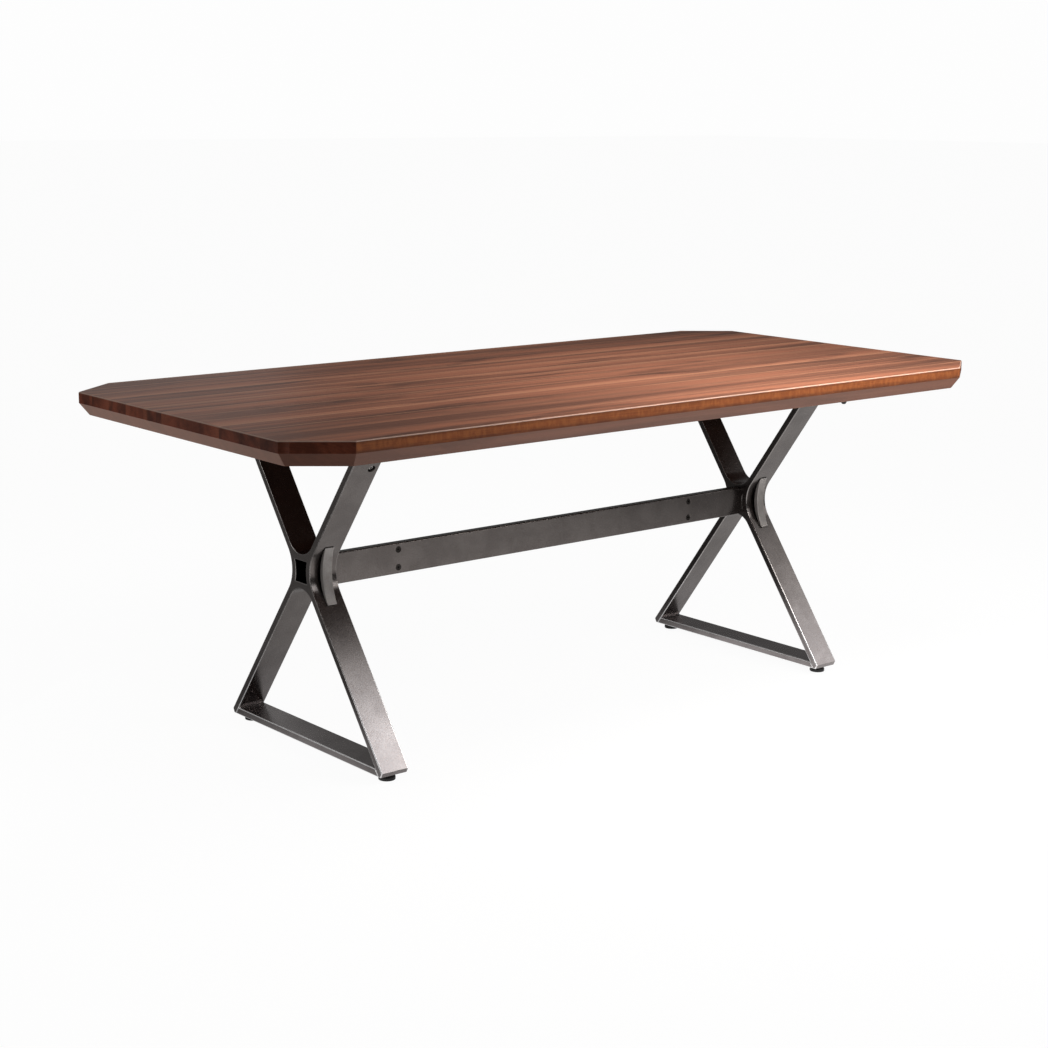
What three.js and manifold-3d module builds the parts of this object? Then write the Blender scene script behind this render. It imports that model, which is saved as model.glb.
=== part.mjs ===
// Trestle dining table: an edge-glued walnut top with clipped corners on two steel X trestles.
// Each trestle is a pair of bent flat bars welded back to back at a waist, with a floor bar
// between its feet. A box-section stretcher slides over a tongue on each waist, and two
// socket screws hold each end. Four levelling feet screw into the floor bars.
//
// Millimetres, +Z up. The origin is on the floor under the middle of the top. X runs along the
// top and Y across it: "left" is -X, "near" is -Y.

import * as THREE from 'three';
import { mergeVertices } from 'three/addons/utils/BufferGeometryUtils.js';
import Module from 'manifold-3d';

const wasm = await Module();
wasm.setup();

// ---------------------------------------------------------------------------------------------
// Driving dimensions
// ---------------------------------------------------------------------------------------------

const GAP = 0.3; // clearance between pieces that touch, are glued or are welded
const OVERCUT = 1; // how far a cutting tool runs past the faces that it opens

const TABLE_HEIGHT = 762;

const TOP_LENGTH = 1974;
const TOP_WIDTH = 965;
const TOP_THICKNESS = 51;
const TOP_EDGE_HEIGHT = 24; // upright part of the edge, above the under-bevel
const TOP_BEVEL_INSET = 19.5; // how far the under-bevel runs in beneath the edge
const TOP_EASE = 1.6; // chamfer on the upper arris
const CLIP_LENGTH = 115; // corner clip, along X
const CLIP_WIDTH = 87; // corner clip, along Y
const STAVE_COUNT = 13;

const BAR_WIDTH = 68; // along X
const BAR_THICKNESS = 15.5;
const TRESTLE_OUTER_X = 687; // outer face of each trestle
const ARM_SPREAD = 245; // half the distance over the arms, at the underside of the top
const FOOT_SPREAD = 299; // half the distance over the legs, where their lines meet the foot level
const WAIST_VERTEX = 17; // half the distance between the vertices of the bent outer faces
const WAIST_HEIGHT = 397;
const WAIST_BEND_RADIUS = 73; // outer, hollow face of each bent bar
const FOOT_LEVEL = 15; // underside of the floor bars
const FOOT_NIP = 10; // height of the cut that takes the sharp toe off each leg

const WAIST_HOLE_TOP = 420.7;
const WAIST_HOLE_BOTTOM = 373.7;
const CROTCH_RADIUS = 51; // round of the V above the waist and of the one below it
const WEB_HALF_WIDTH = 34.5; // where the webs' thin tips are cut off
const WEB_HEIGHT = 24.8; // of the blank that the bars and the crotch cut down
const BACK_PLATE_THICKNESS = 8;

const STRAP_WIDTH = 23;
const STRAP_REACH_UP = 58; // above the waist
const STRAP_REACH_DOWN = 64; // below the waist
const STRAP_BACK_AT_WAIST = 40.4; // from the middle of the trestle to the back of the strap
const STRAP_FRONT_AT_WAIST = 51.5;
const STRAP_TIP_UP = 1.4; // strap thickness over the arm's face, at the upper end
const STRAP_TIP_DOWN = 3.6; // strap thickness over the leg's face, at the lower end
const STRAP_STANDOFF = 0.4; // weld room under both ends
const STRAP_ARC_STEPS = 16;

const SADDLE_WIDTH = 48;
const SADDLE_THICKNESS = 6;
const SADDLE_EAR_DROP = 84; // how far the ears reach below the underside of the top
const SADDLE_BEND_RADIUS = 9;

const STRETCHER_HEIGHT = 69;
const STRETCHER_THICKNESS = 22.5;
const STRETCHER_WALL = 4;
const STRETCHER_CORNER_RADIUS = 3;
const STRETCHER_CENTRE_Z = 393.5;
const TONGUE_LENGTH = 220;

const STRETCHER_SCREW_X = 440;
const STRETCHER_SCREW_PITCH = 40;
const ARM_BOLT_DROP = 65; // below the underside of the top
const ARM_BOLT_FROM_INNER_FACE = 18;
const BOLTED_ARM = -1; // the arm with the bolt, as drawn; the other one is welded to the saddle

const FOOT_Y = 262;
const FOOT_PAD_RADIUS = 18;
const FOOT_PAD_HEIGHT = 11.2;
const FOOT_PAD_SHOULDER = 7; // height at which the pad starts to taper
const FOOT_PAD_CROWN_RADIUS = 14;
const FOOT_PAD_EASE = 1; // chamfer round the sole
const STUD_RADIUS = 4;
const STUD_ENGAGEMENT = 13.5; // thread inside the floor bar
const STUD_HOLE_SPARE = 0.4; // depth left over above the stud

const BUTTON_X = 505;
const BUTTON_Y = -445;
const BUTTON_RADIUS = 6.5;
const BUTTON_TIP_RADIUS = 3.5;
const BUTTON_HEIGHT = 8;

// ---------------------------------------------------------------------------------------------
// Values that follow from the driving dimensions
// ---------------------------------------------------------------------------------------------

const UNDERSIDE = TABLE_HEIGHT - TOP_THICKNESS;
const TRESTLE_INNER_X = TRESTLE_OUTER_X - BAR_WIDTH;
const TRESTLE_MID_X = TRESTLE_OUTER_X - BAR_WIDTH / 2;
const STAVE_PITCH = (TOP_WIDTH + GAP) / STAVE_COUNT;

// A trestle's side lies between the plane of symmetry, u = 0, and its toe: u is the distance
// from that plane, so one side serves as near (y = -u) and as far (y = +u).
const ARM_TOP = new THREE.Vector2(ARM_SPREAD, UNDERSIDE);
const WAIST = new THREE.Vector2(WAIST_VERTEX, WAIST_HEIGHT);
const TOE = new THREE.Vector2(FOOT_SPREAD, FOOT_LEVEL);

// ---------------------------------------------------------------------------------------------
// Materials
// ---------------------------------------------------------------------------------------------

const finish = (color, roughness, metalness) =>
  new THREE.MeshStandardMaterial({ color, roughness, metalness });

const WALNUT = finish(0x6b3d28, 0.45, 0);
const STEEL = finish(0x55504c, 0.42, 0.9);
const STRAP_STEEL = finish(0x6d6763, 0.55, 0.9);
const FIXING_STEEL = finish(0x2f2d2c, 0.35, 0.9);
const HIDDEN_STEEL = finish(0x8a8a88, 0.4, 0.9);
const BLACK_PLASTIC = finish(0x121212, 0.6, 0);

// ---------------------------------------------------------------------------------------------
// Plane geometry
// ---------------------------------------------------------------------------------------------

const ARC_STEP = THREE.MathUtils.degToRad(6);

/** Points of the arc that rounds corner b of the path a-b-c. */
function roundedCorner(a, b, c, radius) {
  const toA = a.clone().sub(b).normalize();
  const toC = c.clone().sub(b).normalize();
  const half = Math.acos(toA.dot(toC)) / 2;
  const centre = toA.clone().add(toC).normalize().multiplyScalar(radius / Math.sin(half)).add(b);
  const start = toA.clone().multiplyScalar(radius / Math.tan(half)).add(b).sub(centre);
  const sweep = (Math.PI - 2 * half) * -Math.sign(toA.cross(toC));
  const steps = Math.max(2, Math.round(Math.abs(sweep) / ARC_STEP));
  return Array.from({ length: steps + 1 }, (_, i) =>
    start.clone().rotateAround(new THREE.Vector2(), (sweep * i) / steps).add(centre));
}

/** A closed outline in which every corner has the same radius. */
function roundedOutline(corners, radius) {
  const n = corners.length;
  return corners.flatMap((corner, i) =>
    roundedCorner(corners[(i + n - 1) % n], corner, corners[(i + 1) % n], radius));
}

/** The line through p and q, moved sideways: a positive shift is towards the plane u = 0. */
function shiftedLine(p, q, shift) {
  const along = q.clone().sub(p).normalize();
  const side = new THREE.Vector2(along.y, -along.x);
  if (side.x > 0) side.negate();
  return { point: p.clone().addScaledVector(side, shift), along };
}

const pointAtHeight = (line, z) =>
  line.point.clone().addScaledVector(line.along, (z - line.point.y) / line.along.y);

function crossing(first, second) {
  const offset = second.point.clone().sub(first.point);
  const distance = offset.cross(second.along) / first.along.cross(second.along);
  return first.point.clone().addScaledVector(first.along, distance);
}

/**
 * One face of a bent side, from zTop down past the rounded waist to zBottom. The shifts
 * move the arm's and the leg's stretch away from the bar's outer face.
 */
function sideFace({ armShift, legShift, radius, zTop, zBottom }) {
  const arm = shiftedLine(ARM_TOP, WAIST, armShift);
  const leg = shiftedLine(WAIST, TOE, legShift);
  const top = pointAtHeight(arm, zTop);
  const bottom = pointAtHeight(leg, zBottom);
  return [top, ...roundedCorner(top, crossing(arm, leg), bottom, radius), bottom];
}

// ---------------------------------------------------------------------------------------------
// Solids
// ---------------------------------------------------------------------------------------------

const X_DIRECTION = new THREE.Matrix4().makeBasis(
  new THREE.Vector3(0, 1, 0), new THREE.Vector3(0, 0, 1), new THREE.Vector3(1, 0, 0));

/** The arc from one point to another through a point between them, both ends included. */
function arcThrough(start, between, end, steps) {
  const first = between.clone().sub(start);
  const second = end.clone().sub(start);
  const scale = 0.5 / first.cross(second);
  const centre = new THREE.Vector2(
    start.x + scale * (second.y * first.lengthSq() - first.y * second.lengthSq()),
    start.y + scale * (first.x * second.lengthSq() - second.x * first.lengthSq()));
  const from = start.clone().sub(centre);
  const to = end.clone().sub(centre);
  const sweep = Math.atan2(from.cross(to), from.dot(to));
  return Array.from({ length: steps + 1 }, (_, i) =>
    start.clone().rotateAround(centre, (sweep * i) / steps));
}

/** A solid with a (y, z) outline that runs along X from x0 to x1. */
function alongX(outline, x0, x1, hole) {
  const shape = new THREE.Shape(outline);
  if (hole) shape.holes.push(new THREE.Path(hole));
  const geometry = new THREE.ExtrudeGeometry(shape, { depth: x1 - x0, bevelEnabled: false });
  return geometry.applyMatrix4(X_DIRECTION).translate(x0, 0, 0);
}

const TURNED_SIDES = 16; // sides of a screw, and of the hole it fits, which keeps their clearance even
const PAD_SIDES = 32;

/** A turned solid about Z from [radius, z] pairs that start and end on the axis. */
function turned(profile, segments = TURNED_SIDES) {
  const points = profile.map(([radius, z]) => new THREE.Vector2(radius, z));
  return new THREE.LatheGeometry(points, segments).rotateX(Math.PI / 2);
}

const cylinder = (radius, z0, z1, segments = TURNED_SIDES) =>
  turned([[0, z0], [radius, z0], [radius, z1], [0, z1]], segments);

/** A hexagonal prism about Z, measured across its flats. */
const hexPrism = (flats, z0, z1) => cylinder(flats / Math.sqrt(3), z0, z1, 6);

/** Joins rings of points, all of the same count, into one closed solid with flat ends. */
function lofted(rings) {
  const n = rings[0].length;
  const faces = [];
  for (let r = 0; r + 1 < rings.length; r++) {
    for (let i = 0; i < n; i++) {
      const a = r * n + i;
      const b = r * n + ((i + 1) % n);
      faces.push(a, b, b + n, a, b + n, a + n);
    }
  }
  const last = (rings.length - 1) * n;
  for (let i = 1; i + 1 < n; i++) {
    faces.push(0, i + 1, i);
    faces.push(last, last + i, last + i + 1);
  }
  const geometry = new THREE.BufferGeometry().setFromPoints(rings.flat());
  geometry.setIndex(faces);
  return geometry;
}

/** The validated solid of a closed geometry. */
function solid(geometry) {
  const bare = geometry.clone();
  for (const name of Object.keys(bare.attributes)) {
    if (name !== 'position') bare.deleteAttribute(name);
  }
  const merged = mergeVertices(bare, 1e-4);
  return new wasm.Manifold(new wasm.Mesh({
    numProp: 3,
    vertProperties: new Float32Array(merged.attributes.position.array),
    triVerts: new Uint32Array(merged.index.array),
  }));
}

function toGeometry(body) {
  const mesh = body.getMesh();
  const geometry = new THREE.BufferGeometry();
  geometry.setAttribute('position', new THREE.BufferAttribute(mesh.vertProperties, 3));
  geometry.setIndex(new THREE.BufferAttribute(mesh.triVerts, 1));
  return geometry;
}

/** Takes each of the tools out of a blank. */
const cut = (blank, tools) =>
  toGeometry(tools.reduce((body, tool) => body.subtract(solid(tool)), solid(blank)));

const common = (first, second) => toGeometry(solid(first).intersect(solid(second)));

const part = new THREE.Group();

function add(name, geometry, material) {
  const mesh = new THREE.Mesh(geometry, material);
  mesh.name = name;
  part.add(mesh);
  return mesh;
}

// ---------------------------------------------------------------------------------------------
// Fasteners: each one points up +Z, with the seat of its head at z = 0
// ---------------------------------------------------------------------------------------------

const WOOD_SCREW = { radius: 2.5, headRadius: 5, headDepth: 3, length: 33 };
const STRETCHER_SCREW = { radius: 4, headRadius: 6.8, headDepth: 3.2, length: 17, flats: 5 };
const ARM_BOLT = {
  radius: 4, headRadius: 6.5, crownRadius: 3.9, skirt: 1.2, headDepth: 4.4, length: 13.4, flats: 4,
};
const DOME_RISE = 0.5; // of the arm bolt's dome over a straight cone
const COUNTERBORE_RADIUS = 8; // of the recess that hides the arm bolt's head
const ARM_BOLT_ROOM = 30; // how far each way the arm bolt's hole reaches from the seat
const ARM_BOLT_SEAT = 8; // depth of that recess
const SOCKET_DEPTH = 2.6;
const END_CHAMFER = 1;
const POINT_ROOM = 1; // depth of a hole past the screw's point

/** Countersunk screw: its flat face is at z = 0 and its point at z = length. */
function countersunkScrew({ radius, headRadius, headDepth, length }) {
  return turned([[0, 0], [headRadius, 0], [radius, headDepth], [radius, length - radius], [0, length]]);
}

/** Room for a countersunk screw, opening below z = 0. */
function countersink({ radius, headRadius, headDepth, length }) {
  const mouth = headRadius + GAP;
  const bore = radius + GAP;
  const bottom = length + POINT_ROOM;
  return turned([
    [0, -OVERCUT], [mouth, -OVERCUT], [mouth, GAP], [bore, headDepth + GAP], [bore, bottom], [0, bottom],
  ]);
}

function socketCountersunkScrew(size) {
  return cut(countersunkScrew(size), [hexPrism(size.flats, -OVERCUT, SOCKET_DEPTH)]);
}

/** Button head bolt: its domed head is below z = 0 and its shank above. */
function armBolt() {
  const { radius, headRadius, crownRadius, skirt, headDepth, length, flats } = ARM_BOLT;
  const shoulder = (headRadius + crownRadius) / 2;
  const blank = turned([
    [0, -headDepth], [crownRadius, -headDepth], [shoulder, -(headDepth + skirt) / 2 - DOME_RISE],
    [headRadius, -skirt], [headRadius, 0], [radius, 0], [radius, length - END_CHAMFER],
    [radius - END_CHAMFER, length], [0, length],
  ]);
  return cut(blank, [hexPrism(flats, -headDepth - OVERCUT, -headDepth + SOCKET_DEPTH)]);
}

/** Room for an arm bolt, from outside the bar to beyond the saddle's ear. */
function armBoltHole() {
  const bore = ARM_BOLT.radius + GAP;
  return turned([
    [0, -ARM_BOLT_ROOM], [COUNTERBORE_RADIUS, -ARM_BOLT_ROOM], [COUNTERBORE_RADIUS, GAP], [bore, GAP],
    [bore, ARM_BOLT_ROOM], [0, ARM_BOLT_ROOM],
  ]);
}

// ---------------------------------------------------------------------------------------------
// Top
// ---------------------------------------------------------------------------------------------

/** The clipped rectangle, counter-clockwise from above, with all its edges moved in by inset. */
function topRing(inset, z) {
  const x = TOP_LENGTH / 2 - inset;
  const y = TOP_WIDTH / 2 - inset;
  const slant = Math.hypot(CLIP_LENGTH, CLIP_WIDTH);
  const clipX = CLIP_LENGTH - (inset * (CLIP_LENGTH + CLIP_WIDTH - slant)) / CLIP_WIDTH;
  const clipY = CLIP_WIDTH - (inset * (CLIP_LENGTH + CLIP_WIDTH - slant)) / CLIP_LENGTH;
  const corner = (sx, sy) => [[sx * x, sy * (y - clipY)], [sx * (x - clipX), sy * y]];
  const points = [
    ...corner(-1, -1), ...corner(1, -1).reverse(), ...corner(1, 1), ...corner(-1, 1).reverse(),
  ];
  return points.map(([px, py]) => new THREE.Vector3(px, py, z));
}

function topSlab() {
  return lofted([
    topRing(TOP_BEVEL_INSET, UNDERSIDE),
    topRing(0, TABLE_HEIGHT - TOP_EDGE_HEIGHT),
    topRing(0, TABLE_HEIGHT - TOP_EASE),
    topRing(TOP_EASE, TABLE_HEIGHT),
  ]);
}

/** The wood screws' places along Y: the middles of the second and third staves each way. */
const woodScrewYs = [-2, -1, 1, 2].map((stave) => stave * STAVE_PITCH);
const WOOD_SCREW_SEAT_Z = UNDERSIDE - GAP - SADDLE_THICKNESS;

function addTop() {
  const slab = topSlab();
  const pilotsUnder = (x) =>
    woodScrewYs.map((y) => countersink(WOOD_SCREW).translate(x, y, WOOD_SCREW_SEAT_Z));
  const pilots = [-TRESTLE_MID_X, TRESTLE_MID_X].flatMap(pilotsUnder);
  const drilled = cut(slab, pilots);
  for (let i = 0; i < STAVE_COUNT; i++) {
    const y = (i - (STAVE_COUNT - 1) / 2) * STAVE_PITCH;
    const strip = new THREE.BoxGeometry(
      TOP_LENGTH + 2 * OVERCUT, STAVE_PITCH - GAP, TOP_THICKNESS + 2 * OVERCUT);
    strip.translate(0, y, TABLE_HEIGHT - TOP_THICKNESS / 2);
    add(`top_stave_${String(i + 1).padStart(2, '0')}`, common(drilled, strip), WALNUT);
  }
  const button = turned([
    [0, -BUTTON_HEIGHT], [BUTTON_TIP_RADIUS, -BUTTON_HEIGHT], [BUTTON_RADIUS, -BUTTON_HEIGHT / 2],
    [BUTTON_RADIUS, 0], [0, 0],
  ]);
  add('underside_button', button, BLACK_PLASTIC).position.set(BUTTON_X, BUTTON_Y, UNDERSIDE - GAP);
}

// ---------------------------------------------------------------------------------------------
// Trestles: drawn with the outer face at x = 0 and the bars running to x = BAR_WIDTH
// ---------------------------------------------------------------------------------------------

/** Turns (u, z) points of one side into (y, z) points of the near or far side. */
const onSide = (points, ySign) => points.map((p) => new THREE.Vector2(ySign * p.x, p.y));

const barInner = (clearance) => ({
  armShift: BAR_THICKNESS + clearance,
  legShift: BAR_THICKNESS + clearance,
  radius: WAIST_BEND_RADIUS + BAR_THICKNESS + clearance,
});

/** Outline of a bent bar, with room round its inner face when clearance is above 0. */
function barOutline(clearance) {
  const outer = sideFace({
    armShift: -clearance, legShift: -clearance, radius: WAIST_BEND_RADIUS - clearance,
    zTop: UNDERSIDE - GAP, zBottom: FOOT_LEVEL + FOOT_NIP,
  });
  const inner = sideFace({ ...barInner(clearance), zTop: UNDERSIDE - GAP, zBottom: FOOT_LEVEL });
  const nip = new THREE.Vector2(outer.at(-1).x - FOOT_NIP / 2, FOOT_LEVEL);
  return [...outer, nip, ...inner.reverse()];
}

/** Places a Z-pointing fastener square to the bolted arm's outer face, with its seat below that face. */
function placedAtArmBolt(geometry) {
  const seat = shiftedLine(ARM_TOP, WAIST, ARM_BOLT_SEAT);
  const { x: u, y: z } = pointAtHeight(seat, UNDERSIDE - ARM_BOLT_DROP);
  const inward = new THREE.Vector3(0, BOLTED_ARM * seat.along.y, -seat.along.x);
  const turn = new THREE.Quaternion().setFromUnitVectors(new THREE.Vector3(0, 0, 1), inward);
  return geometry.clone().applyQuaternion(turn)
    .translate(BAR_WIDTH - ARM_BOLT_FROM_INNER_FACE, BOLTED_ARM * u, z);
}

function sideBar(ySign) {
  const blank = alongX(onSide(barOutline(0), ySign), 0, BAR_WIDTH);
  return ySign === BOLTED_ARM ? cut(blank, [placedAtArmBolt(armBoltHole())]) : blank;
}

/** The floor bar fits between the legs' inner faces and is tapped for the two feet. */
function floorBar() {
  const leg = shiftedLine(WAIST, TOE, BAR_THICKNESS + GAP);
  const low = pointAtHeight(leg, FOOT_LEVEL);
  const high = pointAtHeight(leg, FOOT_LEVEL + BAR_THICKNESS);
  const outline = [...onSide([low, high], 1), ...onSide([high, low], -1)];
  const hole = cylinder(STUD_RADIUS + GAP, -OVERCUT, STUD_ENGAGEMENT + STUD_HOLE_SPARE);
  const holes = [-1, 1].map((ySign) =>
    hole.clone().translate(BAR_WIDTH / 2, ySign * FOOT_Y, FOOT_LEVEL));
  return cut(alongX(outline, 0, BAR_WIDTH), holes);
}

const clearanceOfBars = () =>
  [-1, 1].map((ySign) => alongX(onSide(barOutline(GAP), ySign), -OVERCUT, BAR_WIDTH + OVERCUT));

const CROTCH_SIDES = 64;

/** The round of a crotch: a cylinder along X, tangent to both inner faces of the V. */
function crotchRound(from, to) {
  const face = shiftedLine(from, to, BAR_THICKNESS);
  const vertexZ = face.point.y - (face.point.x * face.along.y) / face.along.x;
  const upward = Math.sign(face.point.y - vertexZ);
  const centreZ = vertexZ + (upward * CROTCH_RADIUS) / Math.abs(face.along.x);
  const length = BAR_WIDTH + 2 * OVERCUT;
  const roller = new THREE.CylinderGeometry(CROTCH_RADIUS, CROTCH_RADIUS, length, CROTCH_SIDES);
  return roller.rotateZ(Math.PI / 2).translate(BAR_WIDTH / 2, 0, centreZ);
}

/** A web between the bars, from the edge of the waist hole to the round of the crotch. */
function waistWeb(holeEdgeZ, crotch) {
  const outward = Math.sign(holeEdgeZ - WAIST_HEIGHT);
  const blank = new THREE.BoxGeometry(BAR_WIDTH, 2 * WEB_HALF_WIDTH, WEB_HEIGHT);
  blank.translate(BAR_WIDTH / 2, 0, holeEdgeZ + (outward * WEB_HEIGHT) / 2);
  return cut(blank, [...clearanceOfBars(), crotch]);
}

/** The plate that closes the inner end of the waist hole and carries the tongue. */
function backPlate() {
  const height = WAIST_HOLE_TOP - WAIST_HOLE_BOTTOM - 2 * GAP;
  const blank = new THREE.BoxGeometry(BACK_PLATE_THICKNESS, 2 * WEB_HALF_WIDTH, height);
  blank.translate(BAR_WIDTH - BACK_PLATE_THICKNESS / 2, 0, (WAIST_HOLE_TOP + WAIST_HOLE_BOTTOM) / 2);
  return cut(blank, clearanceOfBars());
}

/** One face of a strap: an arc through its distance from the middle of the trestle at the waist. */
function strapFace(tipUp, tipDown, atWaist) {
  const arm = shiftedLine(ARM_TOP, WAIST, -GAP - tipUp);
  const leg = shiftedLine(WAIST, TOE, -GAP - tipDown);
  return arcThrough(
    pointAtHeight(arm, WAIST_HEIGHT + STRAP_REACH_UP), new THREE.Vector2(atWaist, WAIST_HEIGHT),
    pointAtHeight(leg, WAIST_HEIGHT - STRAP_REACH_DOWN), STRAP_ARC_STEPS);
}

/** The strap bridges the hollow of a bent bar and leaves a crescent gap behind its middle. */
function waistStrap(ySign) {
  const back = strapFace(STRAP_STANDOFF, STRAP_STANDOFF, STRAP_BACK_AT_WAIST);
  const front = strapFace(STRAP_TIP_UP, STRAP_TIP_DOWN, STRAP_FRONT_AT_WAIST);
  const outline = onSide([...front, ...back.reverse()], ySign);
  return alongX(outline, (BAR_WIDTH - STRAP_WIDTH) / 2, (BAR_WIDTH + STRAP_WIDTH) / 2);
}

/** The saddle is a folded plate: flat against the top, with an ear along each arm's inner face. */
function saddlePlate() {
  const earShift = BAR_THICKNESS + GAP;
  const outerEar = shiftedLine(ARM_TOP, WAIST, earShift);
  const innerEar = shiftedLine(ARM_TOP, WAIST, earShift + SADDLE_THICKNESS);
  const roof = UNDERSIDE - GAP;
  const hem = UNDERSIDE - SADDLE_EAR_DROP;
  const middle = new THREE.Vector2(0, roof);
  const foldOuter = roundedCorner(
    middle, pointAtHeight(outerEar, roof), pointAtHeight(outerEar, hem), SADDLE_BEND_RADIUS);
  const foldInner = roundedCorner(
    middle, pointAtHeight(innerEar, roof - SADDLE_THICKNESS), pointAtHeight(innerEar, hem),
    SADDLE_BEND_RADIUS - SADDLE_THICKNESS);
  const half = [
    ...foldOuter, pointAtHeight(outerEar, hem), pointAtHeight(innerEar, hem), ...foldInner.reverse(),
  ];
  const outline = [...onSide(half, 1), ...onSide(half, -1).reverse()];
  const x0 = (BAR_WIDTH - SADDLE_WIDTH) / 2;
  const screwHole = countersink(WOOD_SCREW).translate(BAR_WIDTH / 2, 0, WOOD_SCREW_SEAT_Z);
  const screwHoles = woodScrewYs.map((y) => screwHole.clone().translate(0, y, 0));
  const boltHole = placedAtArmBolt(armBoltHole());
  return cut(alongX(outline, x0, x0 + SADDLE_WIDTH), [...screwHoles, boltHole]);
}

/** The tongue stands on the back plate and fills the first stretch of the stretcher. */
function tongue() {
  const inset = STRETCHER_WALL + GAP;
  const blank = new THREE.BoxGeometry(
    TONGUE_LENGTH, STRETCHER_THICKNESS - 2 * inset, STRETCHER_HEIGHT - 2 * inset);
  blank.translate(BAR_WIDTH + GAP + TONGUE_LENGTH / 2, 0, STRETCHER_CENTRE_Z);
  const screwX = TRESTLE_OUTER_X - STRETCHER_SCREW_X;
  return cut(blank, stretcherScrewRooms(screwX));
}

const stretcherScrewZs = {
  lower: STRETCHER_CENTRE_Z - STRETCHER_SCREW_PITCH / 2,
  upper: STRETCHER_CENTRE_Z + STRETCHER_SCREW_PITCH / 2,
};

/** Turns a Z-pointing stretcher fastener to point +Y from the near face of the stretcher. */
const placedAtStretcherScrew = (geometry, x, z) =>
  geometry.clone().rotateX(-Math.PI / 2).translate(x, -STRETCHER_THICKNESS / 2, z);

function stretcherScrewRooms(x) {
  const room = countersink(STRETCHER_SCREW);
  return Object.values(stretcherScrewZs).map((z) => placedAtStretcherScrew(room, x, z));
}

/** The right trestle is the left one turned half round, so its near side is drawn as far. */
function addTrestle(end) {
  const isLeft = end === 'left';
  const place = (name, geometry, material) => {
    const mesh = add(`${end}_${name}`, geometry, material);
    mesh.position.x = isLeft ? -TRESTLE_OUTER_X : TRESTLE_OUTER_X;
    mesh.rotation.z = isLeft ? 0 : Math.PI;
  };
  for (const side of ['near', 'far']) {
    const ySign = (side === 'near') === isLeft ? -1 : 1;
    place(`${side}_side_bar`, sideBar(ySign), STEEL);
    place(`${side}_waist_strap`, waistStrap(ySign), STRAP_STEEL);
    if (ySign === BOLTED_ARM) place(`${side}_arm_bolt`, placedAtArmBolt(armBolt()), FIXING_STEEL);
  }
  place('floor_bar', floorBar(), STEEL);
  place('upper_waist_web', waistWeb(WAIST_HOLE_TOP, crotchRound(ARM_TOP, WAIST)), STEEL);
  place('lower_waist_web', waistWeb(WAIST_HOLE_BOTTOM, crotchRound(TOE, WAIST)), STEEL);
  place('waist_back_plate', backPlate(), STEEL);
  place('top_saddle_plate', saddlePlate(), HIDDEN_STEEL);
  woodScrewYs.forEach((y, i) => {
    const screw = countersunkScrew(WOOD_SCREW).translate(BAR_WIDTH / 2, y, WOOD_SCREW_SEAT_Z);
    place(`wood_screw_${i + 1}`, screw, HIDDEN_STEEL);
  });
}

// ---------------------------------------------------------------------------------------------
// Stretcher, with its tongues and screws
// ---------------------------------------------------------------------------------------------

function rectangle(width, height) {
  const y = width / 2;
  const z = height / 2;
  return [[-y, -z], [y, -z], [y, z], [-y, z]].map(([py, pz]) => new THREE.Vector2(py, pz));
}

function addStretcher() {
  const wall = 2 * STRETCHER_WALL;
  const section = rectangle(STRETCHER_THICKNESS, STRETCHER_HEIGHT);
  const outer = roundedOutline(section, STRETCHER_CORNER_RADIUS);
  const bore = rectangle(STRETCHER_THICKNESS - wall, STRETCHER_HEIGHT - wall);
  const halfLength = TRESTLE_INNER_X - GAP;
  const tube = alongX(outer, -halfLength, halfLength, bore).translate(0, 0, STRETCHER_CENTRE_Z);
  const rooms = [-STRETCHER_SCREW_X, STRETCHER_SCREW_X].flatMap(stretcherScrewRooms);
  add('stretcher_tube', cut(tube, rooms), STEEL);

  for (const [end, side] of [['left', -1], ['right', 1]]) {
    const stub = add(`${end}_stretcher_tongue`, tongue(), HIDDEN_STEEL);
    stub.position.x = side * TRESTLE_OUTER_X;
    stub.scale.x = -side;
    for (const [level, z] of Object.entries(stretcherScrewZs)) {
      const screw = socketCountersunkScrew(STRETCHER_SCREW);
      const placed = placedAtStretcherScrew(screw, side * STRETCHER_SCREW_X, z);
      add(`${end}_${level}_stretcher_screw`, placed, FIXING_STEEL);
    }
  }
}

// ---------------------------------------------------------------------------------------------
// Levelling feet: a pad that stays square to the floor and a stud that turns in it
// ---------------------------------------------------------------------------------------------

const STUD_FLANGE = { radius: 6, z0: 5.5 }; // the stud's end, seated inside the pad
const STUD_HEX = { flats: 14, z0: 11.5, z1: 14.6 };
const WELD_IN = 0.1; // how far joined shapes run into each other

function footPad() {
  const seat = STUD_FLANGE.radius + GAP;
  return turned([
    [0, 0], [FOOT_PAD_RADIUS - FOOT_PAD_EASE, 0], [FOOT_PAD_RADIUS, FOOT_PAD_EASE],
    [FOOT_PAD_RADIUS, FOOT_PAD_SHOULDER], [FOOT_PAD_CROWN_RADIUS, FOOT_PAD_HEIGHT],
    [seat, FOOT_PAD_HEIGHT], [seat, STUD_FLANGE.z0 - GAP], [0, STUD_FLANGE.z0 - GAP],
  ], PAD_SIDES);
}

function footStud() {
  const top = FOOT_LEVEL + STUD_ENGAGEMENT;
  const flange = cylinder(STUD_FLANGE.radius, STUD_FLANGE.z0, STUD_HEX.z0 + WELD_IN, PAD_SIDES);
  const hex = hexPrism(STUD_HEX.flats, STUD_HEX.z0, STUD_HEX.z1);
  const shank = turned([
    [0, STUD_HEX.z0], [STUD_RADIUS, STUD_HEX.z0], [STUD_RADIUS, top - END_CHAMFER],
    [STUD_RADIUS - END_CHAMFER, top], [0, top],
  ]);
  return toGeometry(solid(flange).add(solid(hex)).add(solid(shank)));
}

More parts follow.
